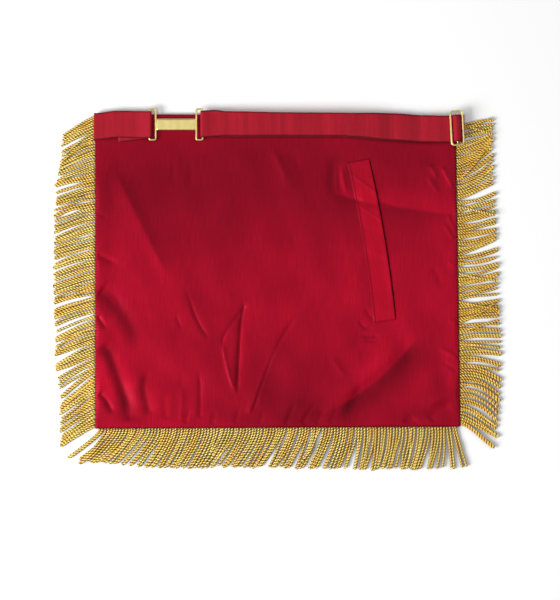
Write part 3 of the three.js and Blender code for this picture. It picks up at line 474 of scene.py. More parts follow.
# Lining: creases as paths in mm from the panel's top left corner, each with its rise (below 0 it is a
# valley), its half width, how pinched it is (2 round, 1 sharp), the step from its right side up to its
# left side, and the shares over which it fades in and out.
lining = {
    "colour": (0.298, 0.0017, 0.0125, 1),
    "roughness": 0.33,
    "columns": 316,
    "rows": 272,
    "settle": 0.4,
    "creaseShade": 0.46,
    "creaseDepth": 1.3,
    "closing": {"pinch": 1.6, "wide": 4, "line": 0.9},  # a sharper, narrower valley closes along this line and gets painted shade there
    "facingRange": (-0.36, 0.26),
    "edgePuff": 0.75,
    "edgeRoll": 15.0,
    "rimRound": 1.6,
    "seamRibs": {"pitch": 0.0033, "reach": 0.0038, "strength": 0.14},
    "unevenness": 0.62,
    "paintedLight": [  # patches of painted light, painted shade where below 0: x, y from the top left corner, reach, amount
        (50, 70, 75, -0.38),
        (205, 52, 85, -0.32),
        (365, 35, 80, -0.3),
        (262, 98, 60, -0.14),
        (45, 210, 75, 0.14),
        (80, 325, 60, 0.1),
        (190, 160, 60, 0.07),
        (232, 335, 65, -0.34),
        (385, 165, 60, 0.06),
        (370, 320, 55, -0.12),
        (8, 300, 26, 0.2),
        (112, 112, 62, -0.15),
        (150, 160, 50, -0.12),
        (85, 225, 45, -0.12),
        (150, 295, 58, -0.13),
        (155, 50, 45, -0.1),
        (300, 172, 32, 0.13),
        (345, 225, 40, 0.08),
    ],
    "facing": 0.8,  # how much painted light a slope that faces left or down gets, and painted shade one that faces away
    "facingFrom": (-0.85, -0.53),
    "shades": [  # painted light and shade along a path in mm from the top left corner: a bell, a step up to its left, and their width
        ([(262, 88), (291, 95), (316, 98), (346, 105), (405, 113)], 0.03, 0.2, 15),
        ([(322, 84), (350, 92), (400, 101)], 0.12, 0, 10),
        ([(366, 254), (352, 272), (338, 292), (318, 310), (292, 325), (262, 342)], -0.3, 0, 12),
        ([(362, 250), (344, 270), (316, 298), (288, 318), (262, 334)], 0.04, -0.26, 15),
        ([(335, 255), (310, 280), (285, 297)], 0.2, 0, 14),
        ([(352, 266), (334, 286), (314, 304)], -0.18, 0, 9),
        ([(385, 280), (358, 306), (338, 330)], 0.18, 0, 10),
        ([(276, 54), (277, 72), (281, 94)], 0.42, 0, 2.6),
        ([(284, 50), (287, 92)], -0.2, 0, 2.5),
        ([(266, 45), (266, 70), (263, 92)], -0.2, 0, 5),
        ([(380, 56), (398, 84)], 0.14, 0, 9),
        ([(404, 50), (405, 190), (406, 340)], 0.16, 0, 9),
        ([(4, 198), (19, 210), (34, 230), (46, 262)], -0.44, 0, 10),
        ([(6, 258), (15, 269), (22, 286), (28, 305), (33, 322), (36, 342)], -0.68, 0, 6.5),
        ([(20, 266), (31, 288), (39, 314)], 0.3, 0, 7),
        ([(6, 268), (8, 290), (14, 306), (22, 322)], 0.3, 0, 5),
        ([(40, 306), (43, 336)], -0.14, 0, 5),
        ([(56, 288), (52, 306), (54, 322), (58, 340)], -0.52, 0, 5),
        ([(58, 292), (57, 309), (62, 341)], 0, -0.05, 7),
        ([(4, 312), (11, 320), (15, 328), (19, 338)], -0.26, 0, 3.5),
        ([(12, 60), (14, 110)], -0.1, 0, 14),
        # painted shadow under the lower edge of the belt
        ([(2, 30), (25, 27.5), (61, 28.2), (75, 28)], -0.24, 0, 1.7),
        ([(112, 27.6), (147, 25.6), (216, 25.4), (274, 25.7), (294, 26.9), (331, 30.3), (368, 32.6),
          (400, 32.8)],
         -0.34, 0, 1.7),
        ([(20, 60), (42, 105), (63, 147), (84, 186)], 0.03, -0.13, 15),
        ([(127, 250), (114, 231), (99, 190)], 0, 0.1, 8),
        ([(159, 318), (160, 285), (163, 234), (168, 208)], 0, -0.1, 9),
        ([(175, 336), (187, 300), (200, 267), (217, 237), (234, 214)], 0, 0.12, 14),
        ([(96, 300), (88, 342)], -0.12, 0, 9),
        ([(140, 318), (136, 345)], -0.1, 0, 8),
        ([(232, 318), (214, 345)], -0.16, 0, 6),
        ([(256, 316), (238, 345)], -0.16, 0, 5),
        ([(296, 306), (280, 338)], -0.18, 0, 5),
        ([(399, 316), (367, 333), (346, 345)], -0.14, 0, 6),
    ],
    "underRings": [(2.5, 3.5), (9.0, 1.6)],  # inset and level of the hidden underside, in mm
    "creases": [
        ([(20, 60), (42, 105), (63, 147), (84, 186)], 1.5, 11, 1.6, 0.5, 0.25, 0.25),
        ([(99, 190), (114, 231), (127, 252)], -0.9, 2.2, 1.2, 0.35, 0.35, 0.25),
        ([(90, 224), (97, 243)], -0.5, 1.8, 1.2, 0, 0.3, 0.3),
        ([(168, 208), (163, 234), (160, 285), (159, 318)], -1.05, 2.4, 1.1, 0.4, 0.15, 0.25),
        ([(169, 214), (152, 235), (143, 251), (142, 264)], -0.7, 2.2, 1.2, -0.2, 0.25, 0.3),
        ([(142, 251), (145, 270), (150, 292), (159, 317)], 0.75, 2.2, 1.2, -0.2, 0.3, 0.2),
        ([(160, 248), (153, 276), (158, 304)], 0.5, 6, 2, 0, 0.3, 0.3),
        ([(234, 214), (217, 237), (200, 267), (187, 300), (175, 336)], -1.1, 2.3, 1.1, -0.5, 0.3, 0.1),
        ([(210, 250), (193, 282), (180, 316), (171, 336)], 0.8, 4, 1.6, 0, 0.3, 0.1),
        ([(6, 257), (15, 268), (21, 282), (26, 298), (31, 311), (35, 325), (37, 344)],
         -1.25, 6.5, 1.8, 0.3, 0.1, 0.06),
        ([(44, 276), (44, 300), (44, 325)], 0.3, 7, 2, 0, 0.3, 0.3),
        ([(61, 285), (56, 295), (55, 309), (58, 322), (61, 336)], -0.55, 4, 1.3, 0.5, 0.3, 0.06),
        ([(49, 289), (47, 311), (50, 338)], 0.25, 6, 2, 0, 0.3, 0.1),
        ([(4, 312), (11, 319.5), (15.5, 327), (20, 337)], -1.1, 3.4, 1.5, 0.3, 0.1, 0.3),
        ([(2, 226), (7, 233), (14, 243)], -1.1, 3, 1.4, 0.2, 0.1, 0.4),
        ([(3, 196), (19, 209), (34, 228), (44, 248), (50, 275)], -1.5, 9, 1.8, 0.5, 0.08, 0.5),
        ([(2, 157), (14, 163), (30, 170)], -0.9, 3.6, 1.6, 0.2, 0.1, 0.6),
        ([(2, 112), (8, 114), (16, 117)], -0.35, 2.4, 1.5, 0, 0.1, 0.5),
        ([(116, 285), (117, 309), (117, 341)], -0.7, 2.6, 1.3, 0.4, 0.4, 0.05),
        ([(96, 302), (97, 323), (96, 341)], 0.5, 3, 1.6, 0, 0.4, 0.05),
        ([(77, 311), (79, 341)], -0.4, 4, 2, 0, 0.4, 0.05),
        ([(107, 326), (101, 346)], -0.5, 2.6, 1.7, 0, 0.5, 0.05),
        ([(136, 330), (131, 347)], -0.45, 3, 1.8, 0, 0.5, 0.05),
        ([(190, 330), (184, 347)], -0.4, 3, 1.8, 0, 0.5, 0.05),
        ([(162, 326), (157, 346)], -0.5, 2.6, 1.7, 0, 0.5, 0.05),
        ([(226, 318), (219, 334), (214, 348)], -0.7, 3.4, 1.7, 0.3, 0.5, 0.04),
        ([(254, 318), (241, 332), (232, 347)], -0.7, 3.8, 1.8, 0.3, 0.5, 0.04),
        ([(258, 328), (248, 347)], -0.55, 3, 1.7, 0.2, 0.5, 0.04),
        ([(299, 300), (289, 320), (278, 343)], -0.55, 4.6, 1.8, 0.3, 0.4, 0.15),
        ([(272, 326), (264, 346)], -0.5, 3, 1.6, 0.2, 0.4, 0.04),
        ([(402, 314), (367, 333), (345, 346)], -0.7, 5.5, 1.8, 0.3, 0.4, 0.1),
        ([(362, 250), (346, 264), (333, 284), (316, 302), (292, 319), (266, 338)],
         -0.9, 11, 1.9, -0.5, 0.2, 0.2),
        ([(346, 258), (320, 280), (294, 301), (268, 318)], 0.9, 9, 2, 0, 0.25, 0.25),
        ([(411, 308), (387, 319), (368, 333), (357, 343)], 0.7, 6, 1.8, 0.2, 0.2, 0.1),
        ([(400, 325), (382, 334), (375, 343)], -0.8, 5, 1.8, 0, 0.2, 0.1),
        ([(264, 270), (272, 283), (283, 300)], 0.5, 4, 1.8, 0, 0.4, 0.4),
        ([(301, 215), (307, 226), (313, 232)], -0.5, 2.6, 1.3, 0.2, 0.3, 0.3),
        ([(294, 228), (301, 239), (312, 240)], -0.6, 1.8, 1.2, 0, 0.3, 0.3),
        ([(297, 249), (308, 250), (319, 249)], -0.8, 1.8, 1.2, 0, 0.3, 0.3),
        ([(300, 254), (316, 254)], -0.5, 1.6, 1.2, 0, 0.3, 0.3),
        ([(275, 55), (277, 72), (281, 92)], 0.8, 3, 1.7, 0, 0.3, 0.4),
        ([(270, 54), (270, 74), (271, 92)], 0.35, 1.8, 1.5, 0, 0.3, 0.4),
        ([(265, 47), (265, 68), (263, 91)], -0.7, 5, 2, 0, 0.3, 0.4),
        ([(198, 37), (208, 58), (220, 85)], 0.65, 4.5, 2, 0.3, 0.25, 0.4),
        ([(218, 40), (231, 68)], -0.4, 6, 2, 0, 0.3, 0.4),
        ([(88, 48), (87, 85)], -0.35, 3, 2, 0, 0.4, 0.4),
        ([(107, 48), (106, 87)], -0.35, 3, 2, 0, 0.4, 0.4),
        ([(263, 88), (291, 96), (319, 101), (362, 109), (409, 114)], -1.1, 9, 1.15, 0, 0.2, 0.05),
        ([(240, 141), (285, 146), (364, 152)], 0.25, 8, 2, 0.3, 0.3, 0.3),
        ([(375, 56), (378, 63), (384, 72)], 0.8, 2.6, 1.8, 0, 0.3, 0.3),
        ([(387, 57), (393, 68), (401, 83)], 0.8, 2.2, 1.6, 0, 0.3, 0.2),
        ([(372, 69), (377, 78), (385, 89)], 0.5, 2.2, 1.6, 0, 0.3, 0.3),
        ([(393, 110), (397, 119), (403, 130)], 0.55, 2, 1.6, 0, 0.3, 0.1),
        ([(391, 123), (395, 131), (401, 140)], 0.5, 2, 1.6, 0, 0.3, 0.1),
        ([(394, 166), (403, 170)], 0.4, 2, 1.6, 0, 0.3, 0.1),
        ([(384, 262), (395, 267), (406, 274)], 0.6, 2.6, 1.6, 0, 0.3, 0.1),
        ([(387, 278), (397, 282), (407, 289)], -0.5, 2.6, 1.6, 0, 0.3, 0.1),
        ([(395, 231), (407, 235)], 0.4, 2.4, 1.6, 0, 0.3, 0.1),
        ([(377, 170), (383, 180), (385, 193)], -0.4, 3.5, 2, 0, 0.3, 0.3),
    ],
}
welt = {
    "colour": (0.358, 0.0019, 0.0135, 1),
    "length": 183.0,
    "width": 24.2,
    "thickness": 1.0,
    "tilt": 0.164,
    "bow": 2.8,
    "atX": 0.757,
    "atY": 0.404,
    "gap": 0.3,
    "sewnEdge": 1.3,  # the sewn side reaches this much further than the solid
    "seams": (0.7, 3.3),  # lines of stitching, mm from the sewn side
    "mouthWidth": 3.0,
    "mouthDepth": 1.6,
    "gape": 0.5,  # how far the free edge stands up over the mouth
    "shades": [  # painted light, and painted shade below 0, across the welt: along, lean in mm down per mm across, half width in mm, how much lighter (below 0 darker)
        (-0.88, 0.3, 14, -0.16),
        (-0.735, 1.06, 2, -0.14),
        (-0.56, 0.36, 6, 0.14),
        (-0.445, 0.36, 4, -0.22),
        (-0.342, 0.95, 1.4, 0.2),
        (-0.32, 0.95, 1.6, -0.12),
        (0.55, 0, 30, 0.06),
    ],
}


weltX = apron["left"] + welt["atX"] * apron["width"]
weltY = apron["waist"] - welt["atY"] * apron["height"]


def pocketFrame(x, y):
    # along runs down the welt from -1 to 1; across is mm from its bowed middle line, towards the right
    dx, dy = x - weltX, y - weltY
    along = (dx * np.sin(welt["tilt"]) - dy * np.cos(welt["tilt"])) / (welt["length"] / 2)
    across = dx * np.cos(welt["tilt"]) + dy * np.sin(welt["tilt"]) - welt["bow"] * (1 - along**2)
    return along, across


def besidePath(path, reach, x, y):
    # for the points within reach of a smooth path: which they are, the share of the path beside each, and the
    # signed distance from it, above 0 on the path's left
    knots = np.array(path, dtype=float) * [1, -1] + [apron["left"], apron["waist"]]
    line = smoothPath(knots, 60)
    near = ((x > line[:, 0].min() - reach) & (x < line[:, 0].max() + reach)
            & (y > line[:, 1].min() - reach) & (y < line[:, 1].max() + reach))
    px, py = x[near], y[near]
    squared = (px[:, None] - line[:, 0]) ** 2 + (py[:, None] - line[:, 1]) ** 2
    nearest = squared.argmin(axis=1)
    heading = np.gradient(line, axis=0)
    heading = heading / np.linalg.norm(heading, axis=1, keepdims=True)
    away = np.stack([px, py], axis=-1) - line[nearest]
    ahead = (away * heading[nearest]).sum(axis=1)
    side = away[:, 0] * -heading[nearest, 1] + away[:, 1] * heading[nearest, 0]
    length = np.linalg.norm(np.diff(line, axis=0), axis=1).sum()
    return near, nearest / (len(line) - 1) + ahead / length, side


def creaseHeights(x, y):
    # each crease: the signed distance from its path gives a bell, or a pinched ridge, plus a step that is
    # strongest beside the path; both fade at its ends. The second result is painted shade along the pinched
    # valleys, where the cloth closes on itself
    total, paintedShade = np.zeros_like(x), np.zeros_like(x)
    closing = lining["closing"]
    for path, rise, wide, pinch, step, fadeIn, fadeOut in lining["creases"]:
        near, t, side = besidePath(path, 4 * wide + 6, x, y)
        fade = smoothstep(t, 0, fadeIn) * (1 - smoothstep(t, 1 - fadeOut, 1.02))
        ridge = lining["creaseDepth"] * rise * np.exp(-((np.abs(side) / wide + 1e-9) ** pinch))
        slope = step * np.tanh(-side / wide) * np.exp(-np.abs(side) / (3 * wide + 4)) * 0.5
        total[near] += (ridge + slope) * fade
        if pinch < closing["pinch"] and rise < 0 and wide < closing["wide"]:
            paintedShade[near] = np.maximum(paintedShade[near], fade * bell(side, closing["line"]) * min(1, -rise))
    return total, paintedShade


def paintedLightTone(x, y):
    # painted light and shade: 1 plus round bells, plus a bell and a step beside each shade's path
    right, down = x - apron["left"], apron["waist"] - y
    tone = 1 + sum(amount * bell(np.hypot(right - atX, down - atY), reach)
                   for atX, atY, reach, amount in lining["paintedLight"])
    for path, middle, step, wide in lining["shades"]:
        near, t, side = besidePath(path, 3 * wide, x, y)
        fade = smoothstep(t, -0.05, 0.2) * (1 - smoothstep(t, 0.8, 1.05))
        edge = np.tanh(side / 1.2) * np.exp(-np.abs(side) / wide)
        tone[near] += (middle * bell(side, wide) + step * edge) * fade
    return tone


rng = np.random.default_rng(11)
swell = [
    (rng.uniform(0, 2 * np.pi), rng.uniform(35, 110), rng.uniform(0, 2 * np.pi), rng.uniform(0.4, 1))
    for _ in range(14)
]


def softSwell(x, y):
    # the sum of long sine waves in random directions
    waves = [
        strength * np.sin((x * np.cos(angle) + y * np.sin(angle)) * 2 * np.pi / wavelength + phase)
        for angle, wavelength, phase, strength in swell
    ]
    return sum(waves) / 3


def liningTop(x, y):
    # level under the belt, puffed beside the fringe, a little lower in the field, where the folds are
    fromSide = fromSeams(x, y)
    fromWaist = waistEdge(x) - y
    belowBelt = smoothstep(fromWaist, 33, 60)
    patchy = 0.6 + 0.4 * np.sin(x * 0.11 + 1) * np.sin(y * 0.087 + 2)
    puff = smoothstep(fromSide, 0, 5) * (1 - smoothstep(fromSide, 5, 5 + lining["edgeRoll"]))
    puff = lining["edgePuff"] * puff * patchy * belowBelt
    field = smoothstep(np.minimum(fromSide, fromWaist), 4.5, 27)
    height = seamTop + puff - lining["settle"] * field
    height = height + lining["unevenness"] * softSwell(x, y) * field * belowBelt
    height = height + creaseHeights(x, y)[0] * smoothstep(fromSide, 0.3, 5) * smoothstep(fromWaist, 33, 42)
    return np.maximum(height, 2.5)


def mouthDip(x, y):
    # a narrow trough under the welt's free edge
    along, across = pocketFrame(x, y)
    inside = 1 - smoothstep(np.abs(along), 0.93, 0.97)
    offset = (across - (welt["width"] / 2 - 0.9)) / (welt["mouthWidth"] / 2)
    return welt["mouthDepth"] * inside * np.clip(1 - offset**2, 0, 1)


def pocketShade(x, y):
    # 1 inside the pocket's mouth, 0 outside it
    along, across = pocketFrame(x, y)
    inside = 1 - smoothstep(np.abs(along), 0.95, 0.985)
    offset = np.abs(across - (welt["width"] / 2 - 0.4)) / (welt["mouthWidth"] / 2)
    return inside * (1 - smoothstep(offset, 0.6, 1.2))


def makeLining():
    # a fine grid over liningTop, whose rim rounds down to a lower border, closed underneath by long strips
    u, v = np.meshgrid(edgeShares(lining["columns"], 6, 0.012), edgeShares(lining["rows"], 6, 0.014))
    x, y = panelPoint(u, v)
    fromSeam = fromSeams(x, y)
    folded = liningTop(x, y)
    top = folded - mouthDip(x, y) - 0.5 * rounding(np.minimum(fromSeam, waistEdge(x) - y), lining["rimRound"])
    upper = np.stack([x, y, top], axis=-1)
    rows, columns = u.shape
    border = gridBorder(rows, columns)
    edge = upper.reshape(-1, 3)[border]
    lower = edge - [0, 0, 0.5]
    after = np.roll(np.arange(len(border)), -1)
    base = rows * columns
    rim = np.stack([border[after], border, base + np.arange(len(border)), base + after], axis=-1)
    # underside: three rings step inwards and down from the rim, and strips join the last one's two sides
    middle = edge.mean(axis=0)
    rings = [lower]
    for inset, level in lining["underRings"]:
        shrunk = middle + (edge - middle) * (1 - 2 * inset / apron["width"])
        shrunk[:, 2] = level
        rings.append(shrunk)
    under = base + gridFaces(len(rings), len(border), closedColumns=True)[:, ::-1]
    last = base + len(border) * (len(rings) - 1)
    bottomRow = last + np.arange(columns)
    rightSide = last + columns - 1 + np.arange(rows)
    topRow = last + columns - 1 + rows - 1 + np.arange(columns)
    leftSide = np.concatenate([[last], last + len(border) - 1 - np.arange(rows - 1)])
    strips = np.stack([leftSide[1:-2], leftSide[2:-1], rightSide[2:-1], rightSide[1:-2]], axis=-1)
    firstEnd = np.concatenate([[leftSide[1], rightSide[1]], bottomRow[::-1]])
    lastEnd = np.concatenate([[rightSide[-2], leftSide[-2]], topRow[::-1]])
    points = np.concatenate([upper.reshape(-1, 3), *rings])
    quads = np.concatenate([gridFaces(rows, columns), rim, under, strips])
    byHem = (y - hemEdge(x)) < np.minimum(x - apron["left"], rightEdge(y) - x)
    along = np.where(byHem, x, y)
    flat = points[:, :2]

    def withBorder(values):
        return np.concatenate([values.ravel(), *[values.ravel()[border]] * len(rings)])

    px, py = flat[:, 0], flat[:, 1]
    # painted shade in the pocket's mouth and along the closed folds
    dark = np.maximum(pocketShade(px, py) * 0.93, creaseHeights(px, py)[1] * lining["creaseShade"])
    # painted light on slopes that face facingFrom, painted shade on those that face away, faded out near the
    # seams
    facing = -sum(np.gradient(folded, axis=axis) / np.gradient(ground, axis=axis) * share
                  for axis, ground, share in zip((1, 0), (x, y), lining["facingFrom"])) * lining["facing"]
    facing = withBorder(1 + np.clip(facing, *lining["facingRange"]) * smoothstep(fromSeam, 1, 5))
    return makePiece("lining_cloth", points, quads, "back_lining", liningSatin, uv=flat,
                     attributes={"alongSeam": withBorder(along) * mm, "fromSeam": withBorder(fromSeam) * mm,
                                 "paintedShade": dark, "paintedLight": paintedLightTone(px, py) * facing},
                     polygons=[firstEnd, lastEnd])


liningSatin = satinMaterial("liningSatin", lining["colour"], lining["roughness"], lining["seamRibs"], True)
liningCloth = makeLining()
print("lining made")


# Welt: a folded strip of the same satin, sewn down along its left side and both ends, open at its right
def weltPoint(along, across):
    down = along * welt["length"] / 2
    side = across + welt["bow"] * (1 - along**2)
    x = weltX + down * np.sin(welt["tilt"]) + side * np.cos(welt["tilt"])
    return x, weltY - down * np.cos(welt["tilt"]) + side * np.sin(welt["tilt"])


weltCreases = [  # along, lean of the crease in mm down per mm across, height, width in mm
    (-0.72, 1.06, 0.3, 3.0),
    (-0.51, 0.36, 0.6, 3.5),
    (-0.342, 0.95, 0.35, 1.8),
    (-0.2, 0.35, 0.2, 4.0),
    (0.15, 0.5, 0.3, 4.0),
    (0.5, -0.3, 0.25, 5.0),
    (0.85, 0.25, 0.35, 3.0),
]


def makeWelt():
    # a strip over the lining: a low pillow across, sewn grooves near its left side and ends, and a free right
    # edge
    half = welt["width"] / 2
    along, across = np.meshgrid(np.linspace(-1, 1, 190), np.linspace(half, -half - welt["sewnEdge"], 54),
                                indexing="ij")
    x, y = weltPoint(along, across)
    base = liningTop(x, y) + welt["gap"]
    fromEnd = (1 - np.abs(along)) * welt["length"] / 2
    fromLeft = across + half + welt["sewnEdge"]
    fromRight = half - across
    sewn = sum(bell(fromLeft - at, 0.5) for at in welt["seams"])
    sewn = sewn + 0.5 * bell(fromEnd - 1.3, 0.8) * smoothstep(fromRight, 0, 2)
    pillow = 0.2 * smoothstep(fromLeft, 3, 12) * smoothstep(fromRight, -3, 6) * smoothstep(fromEnd, 0, 8)
    sink = (welt["gap"] + welt["thickness"] - 0.15) * (1 - np.clip(fromLeft / welt["width"], 0, 1))
    gape = welt["gape"] * smoothstep(-fromRight, -7, 0) * smoothstep(fromEnd, 4, 30)
    creases = sum(rise * bell((along - at) * welt["length"] / 2 - lean * across, wide)
                  for at, lean, rise, wide in weltCreases) * smoothstep(fromLeft, 3, 9)
    top = base + welt["thickness"] - sink + pillow + gape + creases - 0.16 * np.clip(sewn, 0, 1)
    rim = np.minimum.reduce([fromEnd, fromLeft, fromRight])
    upper = np.stack([x, y, top - 0.45 * rounding(rim, 0.9)], axis=-1)
    lower = np.stack([x, y, base + gape - sink + creases * 0.6 * smoothstep(fromRight, 0, 2)], axis=-1)
    # painted shade along the stitching and the sewn left edge, and painted light and shade across the welt
    # from its shades
    paintedShade = np.maximum(0.78 * np.clip(sewn, 0, 1), 0.8 * (1 - smoothstep(fromLeft, 0.6, 1.5)))
    paintedLight = 1 + sum(amount * bell((along - at) * welt["length"] / 2 - lean * across, wide)
                  for at, lean, wide, amount in welt["shades"])
    uv = np.stack([across, along * welt["length"] / 2], axis=-1)
    return makeSlab("welt_cloth", upper, lower, uv, "pocket_welt", weltSatin,
                    {"paintedLight": paintedLight, "paintedShade": paintedShade})


weltSatin = satinMaterial("weltSatin", welt["colour"], 0.36, shaded=True)
weltCloth = makeWelt()
print("welt made")

# Fringe: how the cords lie along each edge. At is the share of the edge from its top or left end, lean how
# far the tips lie along it and bow how far the middles bulge, both as shares of the cord's length, and long
# is the share of the length that lies stretched out there.
cords = {
    "light": (1.0, 0.8, 0.22, 1),
    "dark": (1.0, 0.58, 0.08, 1),
    # painted shade in the groove between the two plies
    "groove": (0.1, 0.028, 0.003, 1),
    "between": (0.016, 0.006, 0.0015, 1),  # painted shade deep between two cords
    "threadPitch": 0.00032,  # of the metal thread round each ply, in metres
    "length": 50.0,
    "rootStraight": 0.11,  # share of the length that hangs straight out of the seam
    "pitch": {"left": 3.0, "bottom": 3.3, "right": 2.95},
    "plyRadius": 0.83,
    "twistPitch": {"left": 7.2, "bottom": 6.8, "right": 7.0},
    "flank": {"left": (0.28, 0.7), "bottom": (0.36, 0.8), "right": (0.04, 0.44)},  # how high the painted shade on each cord's flanks reaches
    "vary": {"place": 0.25, "bow": 0.02, "short": 0.014, "sway": 0.5, "thick": 0.03, "tone": 0.26},
    "cut": {"left": 0.02, "bottom": 0.03, "right": 0.04},  # how much wider the grooves between the plies show
    "tone": {"left": 0.6, "bottom": 0.54, "right": 0.26},  # from the dark towards the light colour
    "steps": {"left": 96, "bottom": 92, "right": 96},
    "lockPitch": 13.5,
    "lockTrim": {"left": (0, 0), "bottom": (6.6, 6.6), "right": (3, 0)},
    "gather": {"left": 0.07, "bottom": 0.09, "right": 0.05},  # share by which a lock's tips draw together
    "stray": {"left": 0.025, "bottom": 0.02, "right": 0.05},
    "crossing": {"left": 0.06, "bottom": 0.03, "right": 0.12},  # share that lies across its neighbours
    "across": {"left": (0.06, 0.13), "bottom": (0.1, 0.22), "right": (0.14, 0.42)},  # and how far
    "rootBend": {"left": {"share": 0.3, "arch": 1.0}, "bottom": {"share": 1.0, "arch": 0.3},
                 "right": {"share": 0.6, "arch": 0.9}},
    "trim": {"left": (1.0, 1.5), "bottom": (3.2, 3.2), "right": (8.2, 1.5)},
    "looped": 0.45,  # share of neighbours whose tips join in a loop
    "loopLength": 0.06,
    "rootHeight": 2.3,
}
flowColumns = ("at", "lean", "bow", "long")
flows = {
    "left": [
        (0, 0.47, -0.02, 0.85),
        (0.1, 0.4, -0.03, 0.88),
        (0.22, 0.24, -0.02, 0.93),
        (0.3, 0.3, -0.03, 0.97),
        (0.55, 0.27, -0.02, 0.98),
        (0.75, 0.38, -0.02, 0.98),
        (0.84, 0.6, 0, 0.98),
        (0.93, 0.54, -0.02, 0.96),
        (1, 0.5, -0.01, 0.92),
    ],
    "bottom": [
        (0, -0.78, 0.1, 1),
        (0.1, -0.6, 0.16, 1),
        (0.25, -0.42, 0.12, 1),
        (0.45, -0.44, 0.13, 1),
        (0.6, -0.36, 0.12, 1),
        (0.75, -0.16, 0.08, 0.98),
        (0.9, -0.18, 0.11, 0.98),
        (0.955, -0.1, 0.09, 0.98),
        (0.983, 0.36, -0.04, 0.97),
    ],
    "right": [
        (0, -0.12, -0.05, 0.88),
        (0.06, -0.2, 0.0, 0.89),
        (0.18, -0.5, 0.1, 0.94),
        (0.26, -0.4, 0.06, 0.93),
        (0.31, -0.16, 0.03, 0.9),
        (0.45, -0.2, 0.03, 0.92),
        (0.62, -0.14, 0, 0.94),
        (0.76, 0.06, -0.05, 0.96),
        (0.88, 0.42, -0.14, 0.98),
        (1, 0.5, -0.02, 0.95),
    ],
}
leftWaist = np.array([apron["left"], apron["waist"]])
leftHem = np.array([apron["left"], apron["hem"]])
fringeEdges = {
    "left": (leftWaist, leftHem, 1),
    "bottom": (leftHem, hemCorner, 1),
    "right": (waistCorner, hemCorner, -1),
}


def uneven(n, salt):
    # a repeatable uneven number from -1 to 1 for each lock, the same as in the solids
    return np.sin(n * 2.399 + salt * 1.7) * np.cos(n * 0.83 + salt)


